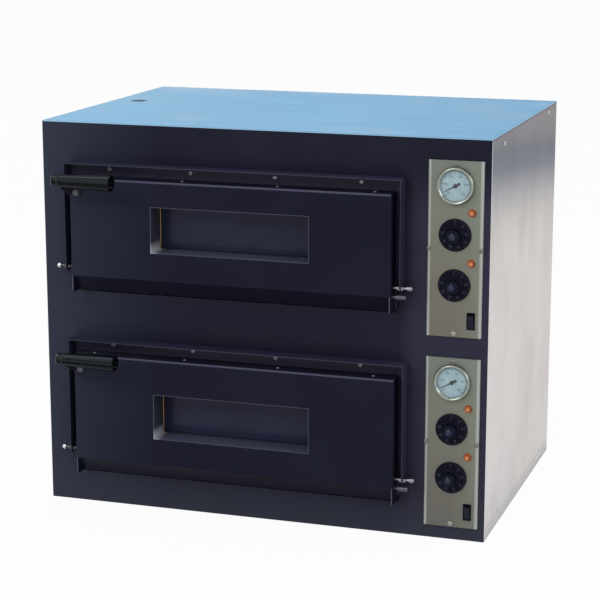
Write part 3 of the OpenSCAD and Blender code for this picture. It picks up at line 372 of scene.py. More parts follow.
def blue_film():
    """Protective film: sky blue, mottled where it has let go of the steel, with a pale cut edge."""
    m = Shader("blue_film", srgb(114, 173, 213), 0.42, specular=0.15)
    cloud = m.noise(4.5, detail=4, stretch=(1, 1.7, 1))
    streak = m.noise(7, detail=3, stretch=(0.5, 3.0, 1))
    m.wash(cloud, 0.46, 0.7, 0.6, srgb(136, 192, 225))
    m.wash(streak, 0.5, 0.76, 0.5, srgb(98, 157, 201))
    m.wash(m.axis("X"), -0.1, -0.44, 0.35, srgb(148, 201, 231))
    m.wash(m.axis("X"), 0.1, 0.44, 0.6, srgb(98, 158, 197))
    m.wash(m.facing("Z"), 0.6, 0.2, 0.8, srgb(176, 205, 222))
    m.roughen(cloud, 0.35, 0.55)
    m.bump(m.noise(30, detail=3, stretch=(1, 2.2, 1)), 0.3 * MM, 0.3)
    return m


def window_foot(m):
    """0.5 near the foot of either deck's window, fading to 0 away from it."""
    z = m.axis("Z")
    feet = [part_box(f"{deck}_window_sleeve")[0].z for deck in DECKS]
    return calculate(m.tree, "ADD", *(m.spread(m.away(z, foot), 22 * MM, 4 * MM, 0, 0.5) for foot in feet))


def window_black():
    """The window tunnel's paint: painted light on its lower face, a painted highlight on its outer rim, and
    a bright painted highlight low on its left end.
    """
    m = powder_coat("window_black", srgb(46, 48, 60), rough=0.35, specular=0.15)
    low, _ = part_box("lower_window_sleeve")
    # painted light on the upward-facing lower face
    m.wash(m.facing("Z"), 0.3, 0.8, 0.9, srgb(76, 77, 98))
    # painted highlight on the outer rim
    m.wash(m.axis("Y"), low.y + 3 * MM, low.y, 0.55, srgb(92, 94, 108))
    left_end_highlight = m.spread(m.axis("X"), low.x + 14 * MM, low.x + 2 * MM, 0, 1)
    # painted highlight low on the left end
    m.tint(m.both(left_end_highlight, window_foot(m)), srgb(236, 238, 242))
    return m


def pane_glass():
    """The windows' glass: nearly black, with faint clouds."""
    m = glass("door_glass", srgb(42, 43, 66), 0.14, transmission=0.15, specular=0.1)
    m.wash(m.noise(9, detail=3), 0.4, 0.7, 0.7, srgb(52, 54, 80))
    return m


def lamp_lens():
    """Moulded lens: deep orange on its slanted facets, with painted highlights where it faces forward and
    painted light on its upper facets.
    """
    m = Shader("orange_lens", srgb(88, 30, 10), 0.2, specular=0.12)
    # painted highlights where the lens faces forward, brightest at its middle
    m.wash(m.facing("Y"), -0.7, -0.9, 0.6, srgb(132, 54, 22))
    m.wash(m.facing("Y"), -0.985, -0.999, 0.9, srgb(226, 146, 98))
    # painted light on the upper facets
    m.wash(m.facing("Z"), 0.3, 0.6, 0.4, srgb(176, 84, 44))
    m.roughen(m.noise(300), 0.1, 0.25)
    return m


def grip_black():
    """The handle's glossy plastic: long paler streaks of painted reflection along its upper and front
    faces, and painted shade at its open end.
    """
    m = moulded("gloss_black", srgb(6, 9, 13), 0.22, specular=0.07)
    up = m.facing("Z")
    # painted reflection: paler streaks by the way the surface faces
    m.wash(m.away(up, 0.72), 0.16, 0.04, 0.8, srgb(66, 72, 80))
    m.wash(m.away(up, 0.12), 0.14, 0.03, 0.7, srgb(46, 54, 58))
    m.wash(m.away(up, -0.55), 0.16, 0.04, 0.6, srgb(34, 40, 48))
    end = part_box("lower_handle_grip")[1].x
    # painted shade: near black at the open end
    m.wash(m.axis("X"), end - 2 * MM, end - 0.6 * MM, 1, srgb(5, 6, 10))
    return m


def bolt_zinc():
    """Hinge bolts: the left one has painted shade behind its bright domed nut; those on the right are
    greyer.
    """
    m = bright_metal("bolt_zinc", srgb(206, 206, 208), 0.22)
    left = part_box("hinge_bolts")[0].x
    x = m.axis("X")
    shade_behind_nut, left_side = m.spread(x, left + 6 * MM, left + 9 * MM, 0, 1), m.spread(x, 0.0, -0.1, 0, 0.9)
    # painted shade on the left bolt behind its nut
    m.tint(m.both(shade_behind_nut, left_side), srgb(46, 46, 52))
    m.wash(x, 0.0, 0.1, 0.9, srgb(118, 118, 130))
    return m


def panel_zinc():
    """Panel screws: dull, but the bottom one of each panel is bright."""
    m = bright_metal("panel_zinc", srgb(134, 130, 120), 0.35)
    z = m.axis("Z")
    for deck in DECKS:
        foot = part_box(f"{deck}_control_panel")[0].z
        m.wash(m.away(z, foot), 20 * MM, 16 * MM, 0.9, srgb(176, 176, 170))
    return m


def bezel_chrome():
    """Turned bezel: painted light on its upper side, grey-green painted shade where it faces the bench, and
    a painted highlight where it faces right.
    """
    m = bright_metal("bezel_chrome", srgb(146, 152, 144), 0.2)
    # painted shade where the bezel faces down
    m.wash(m.facing("Z"), -0.15, -0.75, 0.9, srgb(84, 92, 86))
    # painted light on its upper side
    m.wash(m.facing("Z"), 0.3, 0.85, 0.5, srgb(176, 184, 176))
    # painted highlight where it faces right
    m.wash(m.facing("X"), 0.6, 0.95, 0.7, srgb(206, 210, 206))
    return m


def knob_plastic():
    """Blue-black knobs, with a painted highlight making them a little paler towards the front of the grip.
    """
    m = moulded("black_plastic", srgb(11, 12, 25), 0.5, specular=0.06)
    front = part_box("lower_top_knob")[0].y
    # painted highlight towards the front of the grip
    m.wash(m.axis("Y"), front + 9 * MM, front, 0.5, srgb(24, 28, 44))
    return m


def stone():
    """Baking stone: pale, mottled and rough."""
    m = Shader("baking_stone", srgb(196, 182, 154), 0.85, specular=0.2)
    m.wash(m.noise(40, detail=6), 0.45, 0.7, 0.7, srgb(160, 144, 116))
    m.wash(m.noise(9, detail=4), 0.55, 0.75, 0.55, srgb(120, 104, 84))
    m.bump(m.noise(260, detail=5), 0.6 * MM, 0.7)
    return m


def wool():
    """Mineral wool: dull yellow fibres."""
    m = Shader("mineral_wool", srgb(190, 176, 120), 0.95, specular=0.1)
    fibres = m.noise(160, detail=6, stretch=(1, 4, 1))
    m.wash(fibres, 0.4, 0.7, 0.7, srgb(150, 136, 88))
    m.bump(fibres, 1 * MM, 0.9)
    return m


def glass(name, colour, rough, transmission=1.0, specular=0.5):
    """Glass; less transmission makes it darker and less clear."""
    m = Shader(name, colour, rough, specular=specular)
    m.set("Transmission Weight", transmission)
    m.set("IOR", 1.45)
    m.roughen(m.noise(20, detail=3), rough * 0.6, rough * 1.6)
    return m


def make_materials():
    """All finishes by name. Two slots of the CAD model go by names of their own."""
    made = [
        black_paint("black_steel"), door_paint(), lit_hood_paint("lower"), lit_hood_paint("upper"),
        side_steel(), blue_film(), panel_steel(), window_black(), pane_glass(), lamp_lens(),
        bezel_chrome(), stone(), wool(),
        bright_metal("zinc_steel", srgb(206, 206, 208), 0.22),
        bright_metal("dull_zinc", srgb(84, 84, 92), 0.4),
        bright_metal("hood_zinc", srgb(150, 150, 158), 0.4),
        bolt_zinc(),
        panel_zinc(),
        bright_metal("heater_steel", srgb(78, 74, 74), 0.5),
        bright_metal("copper_tube", srgb(190, 122, 82), 0.3),
        bright_metal("chrome", srgb(190, 194, 190), 0.15),
        bright_metal("brass_trim", srgb(158, 132, 96), 0.35),
        brushed("galvanised", srgb(150, 152, 154), 0.5, "Z", metal=0.8),
        brushed("liner_steel", srgb(120, 116, 112), 0.45, "X", metal=0.7),
        brushed("base_steel", srgb(182, 180, 178), 0.45, "Y", metal=0.2),
        knob_plastic(),
        grip_black(),
        moulded("white_ceramic", srgb(224, 222, 212), 0.4),
        moulded("needle_black", srgb(14, 15, 18), 0.5, specular=0.2),
        moulded("dial_white", srgb(186, 206, 214), 0.5, specular=0.2),
        moulded("dial_ink", srgb(60, 84, 98), 0.6, specular=0.1),
        moulded("skirt_ink", srgb(80, 82, 98), 0.6, specular=0.1),
        moulded("gasket", srgb(30, 30, 38), 0.7, specular=0.1),
        moulded("rubber_sleeve", srgb(206, 170, 178), 0.5, specular=0.3),
        moulded("clear_sleeve", srgb(142, 144, 154), 0.4, specular=0.3),
        powder_coat("bracket_black", srgb(24, 25, 34), rough=0.4, specular=0.25),
        cheek_paint(),
        moulded("rocker_plastic", srgb(26, 28, 42), 0.4, specular=0.12),
        moulded("knob_cap", srgb(46, 54, 74), 0.4, specular=0.12),
        brushed("seam_grey", srgb(92, 98, 110), 0.45, "Y", metal=0.3),
        brushed("back_steel", srgb(196, 193, 190), 0.45, "Z", metal=0.15),
        # painted highlight: the rounded edges of the front, hoods and doors
        powder_coat("painted_edge_highlight", srgb(86, 87, 104), rough=0.35, specular=0.3),
        # painted light: a lighter copy of the front's paint, against the seam strip's shade
        black_paint("seam_lit_paint", (28, 28, 46), (54, 58, 74)),
        # painted highlight: the side panels' rounded edges
        brushed("painted_side_edge_highlight", srgb(214, 212, 210), 0.4, "Z", metal=0.2),
        # painted highlight: the control panels' rounded edges
        brushed("painted_panel_edge_highlight", srgb(196, 200, 192), 0.4, "Z", metal=0.3),
        glass("clear_glass", srgb(244, 252, 254), 0.03),
        glass("lamp_glass", srgb(240, 236, 214), 0.2, transmission=0.6),
    ]
    mats = {shader.name: shader.mat for shader in made}
    mats["stainless"] = mats["side_steel"]
    mats["stone"] = mats["baking_stone"]
    return mats


# ---- CAD nodes: finish and softened edges ----

# Node name or part of it: (width of the rounded edge in mm, the edge's own finish, which is a painted
# highlight, or None)
SOFT_EDGES = {
    "fascia": (0.7, "painted_edge_highlight"), "door_surround": (0.7, "painted_edge_highlight"), "door_shell": (1.3, "painted_edge_highlight"),
    "side_panel": (0.6, "painted_side_edge_highlight"), "top_panel": (0.5, None), "base_tray": (0.6, None),
    "handle_bracket": (0.7, None), "baking_stones": (1.2, None), "switch_bodies": (0.5, None),
    "rocker": (0.6, None), "cable_gland": (0.5, None), "door_inner_panel": (0.5, None),
    "thermostats": (0.6, None), "control_panel": (0.4, "painted_panel_edge_highlight"),
}
NODE_FINISH = {
    "base_tray": "base_steel", "surround_screws": "hood_zinc", "panel_screws": "panel_zinc",
    "hinge_bolts": "bolt_zinc", "rear_panel": "back_steel", "top_panel": "seam_grey",
}
DECK_FINISH = {
    "door_shell": "door_paint", "window_sleeve": "window_black", "handle_bracket": "bracket_black",
    "rocker": "rocker_plastic", "door_fasteners": "dull_zinc", "gauge_case": "bezel_chrome",
}
for deck in DECKS:
    NODE_FINISH.update({f"{deck}_{node}": finish for node, finish in DECK_FINISH.items()})
    NODE_FINISH[f"{deck}_door_surround"] = f"hood_paint_{deck}"


def finish_nodes(mats):
    """Gives each CAD node its finish and rounds the edges that SOFT_EDGES names."""
    for part in frame["record"]["subparts"]:
        name = part["node"]
        node = frame["nodes"][name]
        node.data.materials.clear()
        node.data.materials.append(mats[NODE_FINISH.get(name, part["material_slot"])])
        for key, (width, edge) in SOFT_EDGES.items():
            if key in name:
                soften(node, width * MM, mats[edge] if edge else None)


def soften(node, width, edge):
    """Joins coplanar faces, then rounds the sharp edges, which may take a finish of their own: a painted
    highlight.
    """
    weld = node.modifiers.new("weld", "WELD")
    weld.merge_threshold = 1e-6
    flat = node.modifiers.new("flat", "DECIMATE")
    flat.decimate_type = "DISSOLVE"
    flat.angle_limit = math.radians(0.5)
    bevel = node.modifiers.new("edge", "BEVEL")
    bevel.width = width
    bevel.segments = 2
    bevel.limit_method = "ANGLE"
    bevel.angle_limit = math.radians(40)
    bevel.miter_outer = "MITER_ARC"
    if edge:
        node.data.materials.append(edge)
        bevel.material = 1
    normals = node.modifiers.new("normals", "WEIGHTED_NORMAL")
    normals.weight = 100
    normals.keep_sharp = True


def solids(node):
    """(low, high) of each separate solid of a CAD node, sorted by height and then from left to right."""
    mesh = frame["nodes"][node].data
    keys = [tuple(round(c, 6) for c in v.co) for v in mesh.vertices]
    parent = {k: k for k in keys}

    def root(k):
        while parent[k] != k:
            parent[k] = parent[parent[k]]
            k = parent[k]
        return k

    for polygon in mesh.polygons:
        first = root(keys[polygon.vertices[0]])
        for index in polygon.vertices[1:]:
            parent[root(keys[index])] = first
    groups = {}
    for k in parent:
        groups.setdefault(root(k), []).append(k)
    boxes = [(Vector(map(min, zip(*g))), Vector(map(max, zip(*g)))) for g in groups.values()]
    return sorted(boxes, key=lambda b: (round(b[0].z, 3), round(b[0].x, 3)))


# ---- Mesh helpers ----

def add_piece(name, mesh, material, body, smooth=False):
    """A mesh as a piece of its own, which rides on a body and has a material slot."""
    piece = bpy.data.objects.new(name, mesh)
    bpy.context.scene.collection.objects.link(piece)
    mesh.materials.append(material)
    for polygon in mesh.polygons:
        polygon.use_smooth = smooth
    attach(piece, body)
    return piece


def mesh_of(name, build):
    """A mesh made by build(bmesh)."""
    bm = bmesh.new()
    build(bm)
    bmesh.ops.recalc_face_normals(bm, faces=bm.faces)
    mesh = bpy.data.meshes.new(name)
    bm.to_mesh(mesh)
    bm.free()
    return mesh


def lathe(bm, profile, centre, axis, steps=48):
    """Turns a closed profile of (radius, distance along axis) about an axis through centre."""
    turn = Vector((0, 0, 1)).rotation_difference(Vector(axis)).to_matrix().to_4x4()
    place = Matrix.Translation(centre) @ turn
    rings = []
    for i in range(steps):
        a = 2 * math.pi * i / steps
        points = [place @ Vector((r * math.cos(a), r * math.sin(a), h)) for r, h in profile]
        rings.append([bm.verts.new(point) for point in points])
    count = len(profile)
    for i in range(steps):
        here, there = rings[i], rings[(i + 1) % steps]
        for j in range(count):
            k = (j + 1) % count
            if profile[j][0] == 0 and profile[k][0] == 0:
                continue
            bm.faces.new((here[j], here[k], there[k], there[j]))
    bmesh.ops.remove_doubles(bm, verts=bm.verts, dist=1e-7)


def slab(bm, corners, push):
    """A closed prism from a flat outline, pushed along a vector."""
    front = [bm.verts.new(Vector(c)) for c in corners]
    back = [bm.verts.new(Vector(c) + Vector(push)) for c in corners]
    bm.faces.new(front)
    bm.faces.new(list(reversed(back)))
    for i in range(len(corners)):
        j = (i + 1) % len(corners)
        bm.faces.new((front[j], front[i], back[i], back[j]))


def polar(cx, cz, radius, degrees):
    """A point on a dial: degrees count clockwise from 12 o'clock, seen from the front."""
    a = math.radians(degrees)
    return cx + radius * math.sin(a), cz + radius * math.cos(a)


def tick(bm, cx, cz, y, r0, r1, degrees, width, depth, y1=None):
    """A radial mark on a dial's face, standing depth proud; y is its face at r0, and y1 at r1."""
    y1 = y if y1 is None else y1
    a = math.radians(degrees)
    side = Vector((math.cos(a), 0, -math.sin(a))) * width / 2
    x0, z0 = polar(cx, cz, r0, degrees)
    x1, z1 = polar(cx, cz, r1, degrees)
    inner, outer = Vector((x0, y, z0)), Vector((x1, y1, z1))
    slab(bm, [inner - side, outer - side, outer + side, inner + side], (0, -depth, 0))


def number(text, cx, cz, y, size, spin=0.0):
    """A small plain numeral facing the front, as a mesh with a little depth; spin is in degrees."""
    curve = bpy.data.curves.new("numeral", "FONT")
    curve.body = text
    curve.size = size
    curve.align_x = "CENTER"
    curve.align_y = "CENTER"
    curve.extrude = 0.06 * MM
    curve.resolution_u = 2
    obj = bpy.data.objects.new("numeral", curve)
    bpy.context.scene.collection.objects.link(obj)
    bpy.context.view_layer.update()
    mesh = bpy.data.meshes.new_from_object(obj)
    bpy.data.objects.remove(obj)
    stand = Matrix.Rotation(math.pi / 2, 4, "X")
    mesh.transform(Matrix.Translation((cx, y, cz)) @ Matrix.Rotation(math.radians(spin), 4, "Y") @ stand)
    return mesh


def joined(name, meshes):
    """Several meshes as one."""
    bm = bmesh.new()
    for mesh in meshes:
        bm.from_mesh(mesh)
    out = bpy.data.meshes.new(name)
    bm.to_mesh(out)
    bm.free()
    return out


# ---- Screws: a domed head with a cross recess, over each plain one ----

HEAD_HEIGHT = 2.4 * MM
HEAD_SEAT = 2.2 * MM      # below the top of the plain head
HEAD_LAP = 1.03           # its radius, times the plain head's


def screw_mesh(bm, centre, axis, radius):
    """A low dome with a shallow dip at its middle."""
    height = HEAD_HEIGHT
    dome = [(0, height * 0.78), (radius * 0.16, height * 0.95)]
    dome += [(radius * math.sin(a), height * (0.35 + 0.65 * math.cos(a)))
             for a in (0.5, 0.8, 1.1, 1.35, math.pi / 2)]
    dome += [(radius * 1.02, 0), (0, 0)]
    lathe(bm, dome, centre, axis, 24)


def cross_marks(bm, centre, axis, radius):
    """The cross recess as a dark cross of painted shade, lying just proud of the dome's middle."""
    side = axis.orthogonal().normalized()
    other = axis.cross(side)
    base = centre + axis * HEAD_HEIGHT * 0.80
    for a, b in ((side, other), (other, side)):
        long, wide = a * radius * 0.5, b * radius * 0.12
        slab(bm, [base - long - wide, base + long - wide, base + long + wide, base - long + wide],
             axis * HEAD_HEIGHT * 0.22)


def dress_screws(mats, node, body, finish, axis_of, recess="needle_black"):
    """Domed heads over the solids of a CAD node of screws; axis_of(low, high) gives each one's way out."""
    heads, crosses = bmesh.new(), bmesh.new()
    for low, high in solids(node):
        axis = Vector(axis_of(low, high))
        middle = (low + high) / 2
        reach = max(abs(axis.dot(high - middle)), abs(axis.dot(low - middle)))
        seat = middle + axis * (reach - HEAD_SEAT)
        radius = max((high - low)[i] for i in range(3) if abs(axis[i]) < 0.5) / 2
        screw_mesh(heads, seat, axis, radius * HEAD_LAP)
        # painted shade: a dark cross stands for the recess's hollow
        cross_marks(crosses, seat, axis, radius)
    for bm, label, mat in ((heads, "heads", finish), (crosses, "recesses", recess)):
        bmesh.ops.recalc_face_normals(bm, faces=bm.faces)
        mesh = bpy.data.meshes.new(f"{node}_{label}")
        bm.to_mesh(mesh)
        bm.free()
        add_piece(f"{node}_{label}", mesh, mats[mat], body, smooth=label == "heads")


# ---- Thermometers ----

DIAL_SPAN = 270     # degrees from the first mark to the last
DIAL_MAX = 500
DIAL_MARKS = 50     # gaps between marks
DIAL_NUMBERS = 5    # gaps between numbers
ARC_STEPS = 90      # straight bits in the arc that joins the marks
NEEDLE_TAIL = 61    # degrees, where the weight on the needle's tail is


def dial_angle(share):
    """Degrees from 12 o'clock, for a share of the dial's span."""
    return DIAL_SPAN * (share - 0.5)


def dress_gauge(mats, deck):
    """A dial with its marks, arc and numbers, a turned bezel, and the cap and weight of the needle."""
    low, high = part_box(f"{deck}_gauge_case")
    cx, cz = (low.x + high.x) / 2, (low.z + high.z) / 2
    radius = (high.x - low.x) / 2
    front = low.y
    face_y = front + 5 * MM
    dial_r, dial_thick = radius - 3.8 * MM, 0.3 * MM
    forward = (0, -1, 0)

    def plate(bm):
        disc = [(0, 0), (dial_r, 0), (dial_r, dial_thick), (0, dial_thick)]
        lathe(bm, disc, (cx, face_y, cz), forward, 72)

    add_piece(f"{deck}_dial_plate", mesh_of("dial", plate), mats["dial_white"], "cabinet")
    mark_y = face_y - dial_thick
    scale_r = dial_r - 3.4 * MM

    def marks(bm):
        for i in range(DIAL_MARKS + 1):
            length, width = (4.2, 0.75) if i % 10 == 0 else (3.0, 0.45) if i % 5 == 0 else (1.9, 0.3)
            degrees = dial_angle(i / DIAL_MARKS)
            tick(bm, cx, cz, mark_y, scale_r - length * MM, scale_r, degrees, width * MM, 0.08 * MM)
        for i in range(ARC_STEPS):
            start, end = dial_angle(i / ARC_STEPS), dial_angle((i + 1) / ARC_STEPS)
            outer_r = scale_r + 0.3 * MM
            points = [polar(cx, cz, scale_r, start), polar(cx, cz, outer_r, start),
                      polar(cx, cz, outer_r, end), polar(cx, cz, scale_r, end)]
            slab(bm, [(x, mark_y, z) for x, z in points], (0, -0.06 * MM, 0))

    add_piece(f"{deck}_dial_marks", mesh_of("marks", marks), mats["dial_ink"], "cabinet")
    numerals = []
    for i in range(DIAL_NUMBERS + 1):
        x, z = polar(cx, cz, scale_r - 7.6 * MM, dial_angle(i / DIAL_NUMBERS))
        numerals.append(number(str(i * DIAL_MAX // DIAL_NUMBERS), x, z, mark_y, 5.4 * MM))
    add_piece(f"{deck}_dial_numbers", joined("numbers", numerals), mats["dial_ink"],
              "cabinet")

    def bezel(bm):
        inner = radius - 5.6 * MM
        ring = [(inner, 4.9 * MM), (inner, 7.2 * MM), (inner + 0.5 * MM, 8.6 * MM),
                (inner + 1.7 * MM, 9.8 * MM), (inner + 3.4 * MM, 10.4 * MM),
                (radius - 1.0 * MM, 10.2 * MM), (radius - 0.1 * MM, 9.2 * MM),
                (radius + 0.35 * MM, 7.6 * MM), (radius + 0.4 * MM, 2.6 * MM),
                (radius + 1.5 * MM, 1.4 * MM), (radius + 1.7 * MM, 0.1 * MM),
                (radius - 3.7 * MM, 0.1 * MM), (radius - 3.7 * MM, 4.9 * MM)]
        lathe(bm, ring, (cx, front + 8 * MM, cz), forward, 96)

    add_piece(f"{deck}_gauge_bezel", mesh_of("bezel", bezel), mats["bezel_chrome"], "cabinet",
              smooth=True)
    needle_low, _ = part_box(f"{deck}_gauge_needle")

    def cap(bm):
        dome = [(0, 0), (3.6 * MM, 0), (3.4 * MM, 0.6 * MM), (2.2 * MM, 1.1 * MM), (0, 1.2 * MM)]
        lathe(bm, dome, (cx, needle_low.y + 0.1 * MM, cz), forward, 32)
        x, z = polar(cx, cz, 7.4 * MM, NEEDLE_TAIL)
        weight = [(0, 0), (2.7 * MM, 0), (2.5 * MM, 0.4 * MM), (0, 0.5 * MM)]
        lathe(bm, weight, (x, needle_low.y + 0.35 * MM, z), forward, 24)

    add_piece(f"{deck}_needle_cap", mesh_of("cap", cap), mats["needle_black"],
              f"{deck}_gauge_hand", smooth=True)


# ---- Knobs ----

KNOB_LEN = 25 * MM   # from the front of the grip to the back of the skirt
KNOB_STEP = 40       # degrees from one number to the next
KNOB_MARK_STEP = 10
KNOB_NUMBERS = ("0", "50", "100", "150", "200", "250", "300", "350")
SKIRT_RIM = 28.5     # radius, in mm, of the cone that the skirt is
SKIRT_FOOT = 3       # its height at the rim, in mm
SKIRT_RISE = 1.5 / 11


def dress_knob(mats, deck, which):
    """Marks and numbers on a knob's skirt, and a cap with a rib on its front."""
    node = f"{deck}_{which}_knob"
    body = f"{deck}_{which}_dial"
    low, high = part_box(node)
    cx, cz = (low.x + high.x) / 2, (low.z + high.z) / 2
    back = low.y + KNOB_LEN
    cap_place, forward = (cx, low.y + 0.1 * MM, cz), (0, -1, 0)
    mark_end, number_r = 28.0, 21.4     # radii in mm

    def skirt_y(radius):
        return back - (SKIRT_FOOT + (SKIRT_RIM - radius) * SKIRT_RISE) * MM

    def marks(bm):
        for degrees in range(0, KNOB_STEP * (len(KNOB_NUMBERS) - 1) + 1, KNOB_MARK_STEP):
            inner, width = (24.6, 0.9) if degrees % KNOB_STEP == 0 else (26.2, 0.5)
            tick(bm, cx, cz, skirt_y(inner), inner * MM, mark_end * MM, degrees, width * MM, 0.15 * MM,
                 skirt_y(mark_end))

    add_piece(f"{node}_marks", mesh_of("marks", marks), mats["skirt_ink"], body)
    numerals = []
    for i, text in enumerate(KNOB_NUMBERS):
        x, z = polar(cx, cz, number_r * MM, i * KNOB_STEP)
        numerals.append(number(text, x, z, skirt_y(number_r) - 0.12 * MM, 4.4 * MM, spin=i * KNOB_STEP))
    add_piece(f"{node}_numbers", joined("numbers", numerals), mats["skirt_ink"], body)

    def cap(bm):
        ring = [(6.6 * MM, 0), (9.2 * MM, 0), (9.2 * MM, 0.5 * MM), (8.6 * MM, 0.9 * MM),
                (7.2 * MM, 0.8 * MM), (6.6 * MM, 0.4 * MM)]
        lathe(bm, ring, cap_place, forward)

    add_piece(f"{node}_cap", mesh_of("cap", cap), mats["black_plastic"], body, smooth=True)

    def disc(bm):
        dome = [(0, 0), (6.5 * MM, 0), (6.5 * MM, 0.3 * MM), (0, 0.5 * MM)]
        lathe(bm, dome, cap_place, forward)

    add_piece(f"{node}_disc", mesh_of("disc", disc), mats["knob_cap"], body, smooth=True)

    def rib(bm):
        tick(bm, cx, cz, low.y + 0.2 * MM, 1.5 * MM, 8.4 * MM, 0, 1.1 * MM, 1.1 * MM)

    add_piece(f"{node}_rib", mesh_of("rib", rib), mats["skirt_ink"], body)


# ---- Pilot lamps: faceted lenses ----

LENS_SIDES = 8
# (share of the radius, height in mm, turn in facets) of each ring, from the panel outwards
LENS_RINGS = ((1.0, 0.0, 0.0), (1.0, 1.2, 0.0), (0.8, 4.0, 0.5), (0.42, 5.9, 0.0), (0.3, 5.9, 0.5))


def dress_lamps(mats):
    """A lens with flat facets over each lamp."""
    for index, (low, high) in enumerate(solids("pilot_lamps")):
        cx, cz = (low.x + high.x) / 2, (low.z + high.z) / 2
        radius = (high.x - low.x) / 2
        back = low.y + 5 * MM

        def lens(bm):
            rings = []
            for share, height, turn in LENS_RINGS:
                points = [polar(cx, cz, radius * share, 360 * (i + turn) / LENS_SIDES)
                          for i in range(LENS_SIDES)]
                rings.append([bm.verts.new((x, back - height * MM, z)) for x, z in points])
            for a, b in zip(rings, rings[1:]):
                for i in range(LENS_SIDES):
                    j = (i + 1) % LENS_SIDES
                    bm.faces.new((a[i], a[j], b[i]))
                    bm.faces.new((a[j], b[j], b[i]))
            bm.faces.new(rings[-1])
            bm.faces.new(list(reversed(rings[0])))

        add_piece(f"pilot_lens_{index}", mesh_of("lens", lens), mats["orange_lens"],
                  "cabinet")


# ---- Top film ----

def dress_top(mats):
    """The film over the top panel: a thin skin with faint wrinkles, cut round the flue outlet."""
    low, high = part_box("top_panel")
    collar_low, collar_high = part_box("flue_collar")
    hole = Vector(((collar_low.x + collar_high.x) / 2, (collar_low.y + collar_high.y) / 2))
    hole_r, gather = 16.4 * MM, 9 * MM      # vertices this near the hole move to its edge or towards it
    lap, calm = 1.2 * MM, 30 * MM           # the turned-down edge, and the strip where wrinkles fade
    x0, x1, y0, y1, z = low.x - 0.3 * MM, high.x + 0.3 * MM, low.y - 0.3 * MM, high.y, high.z
    nx, ny = 110, 76

    def height(x, y):
        wave = math.sin(x * 31 + 2.1 * math.sin(y * 9)) * math.sin(y * 23 + 1.3 * math.sin(x * 7))
        ripple = math.sin(x * 71 + y * 13 + 2.2 * math.sin(y * 17))
        edge = min(1, (x - x0) / calm, (x1 - x) / calm, (y - y0) / calm, (y1 - y) / calm)
        return (0.35 + 0.22 * max(0, wave) * edge + 0.08 * max(0, ripple) * edge) * MM

    def skin(bm):
        grid = {}
        for i in range(nx + 1):
            for j in range(ny + 1):
                x, y = x0 + (x1 - x0) * i / nx, y0 + (y1 - y0) * j / ny
                away = Vector((x, y)) - hole
                if away.length < 1e-6:
                    continue
                if away.length < hole_r + gather:
                    pull = min(1, 1 - (away.length - hole_r) / gather)
                    target = hole + away.normalized() * max(hole_r, away.length)
                    x, y = Vector((x, y)).lerp(target, pull)
                grid[i, j] = bm.verts.new((x, y, z + height(x, y)))
        for i in range(nx):
            for j in range(ny):
                keys = ((i, j), (i + 1, j), (i + 1, j + 1), (i, j + 1))
                if any(k not in grid for k in keys):
                    continue
                centre = sum((grid[k].co for k in keys), Vector()) / 4
                if (Vector(centre[:2]) - hole).length < hole_r:
                    continue
                bm.faces.new([grid[k] for k in keys])
        edge = [e for e in bm.edges if e.is_boundary
                and (Vector(e.verts[0].co[:2]) - hole).length > 3 * hole_r]
        made = bmesh.ops.extrude_edge_only(bm, edges=edge)["geom"]
        for v in (g for g in made if isinstance(g, bmesh.types.BMVert)):
            v.co.z = z - lap

    piece = add_piece("protective_film", mesh_of("film", skin), mats["blue_film"],
                      "cabinet", smooth=True)
    thick = piece.modifiers.new("thickness", "SOLIDIFY")
    thick.thickness = 0.12 * MM
    thick.offset = 1


# ---- Windows ----

def dress_window(mats, deck):
    """A rope gasket round the pane, at the back of the window's tunnel, and a brass strip at its left."""
    low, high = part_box(f"{deck}_window_sleeve")
    pane_low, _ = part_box(f"{deck}_window_pane")
    inset, r = 2.2 * MM, 1.2 * MM
    y = pane_low.y - r
    x0, x1, z0, z1 = low.x + inset, high.x - inset, low.z + inset, high.z - inset
    corners = [(x0, z0), (x1, z0), (x1, z1), (x0, z1)]

    def bead(bm):
        corner_r, steps, sides = 3 * MM, 6, 10
        turns = [2 * math.pi * k / sides for k in range(sides)]
        rings = []
        for n, (cx, cz) in enumerate(corners):
            ox = cx + (corner_r if cx == x0 else -corner_r)
            oz = cz + (corner_r if cz == z0 else -corner_r)
            for s in range(steps + 1):
                a = math.pi + (n + s / steps) * math.pi / 2
                out, inwards = Vector((math.cos(a), 0, math.sin(a))), Vector((0, 1, 0))
                centre = Vector((ox, y, oz)) + out * corner_r
                points = [centre + (out * math.cos(t) + inwards * math.sin(t)) * r for t in turns]
                rings.append([bm.verts.new(point) for point in points])
        for here, there in zip(rings, rings[1:] + rings[:1]):
            for k in range(sides):
                m = (k + 1) % sides
                bm.faces.new((here[k], here[m], there[m], there[k]))

    add_piece(f"{deck}_window_gasket", mesh_of("gasket", bead), mats["gasket"],
              f"{deck}_door", smooth=True)

    def trim(bm):
        x, depth = low.x + 1.3 * MM, 3.4 * MM
        outline = [(x, y + r), (x + 0.4 * MM, y - depth), (x + 1.1 * MM, y - depth - 0.3 * MM),
                   (x + 1.8 * MM, y - depth), (x + 1.9 * MM, y + r)]
        slab(bm, [(px, py, z0 + 1.5 * MM) for px, py in outline], (0, 0, z1 - z0 - 3 * MM))

    add_piece(f"{deck}_window_trim", mesh_of("trim", trim), mats["brass_trim"],
              f"{deck}_door")


# ---- Door cheeks, door stops and the seam between the decks ----

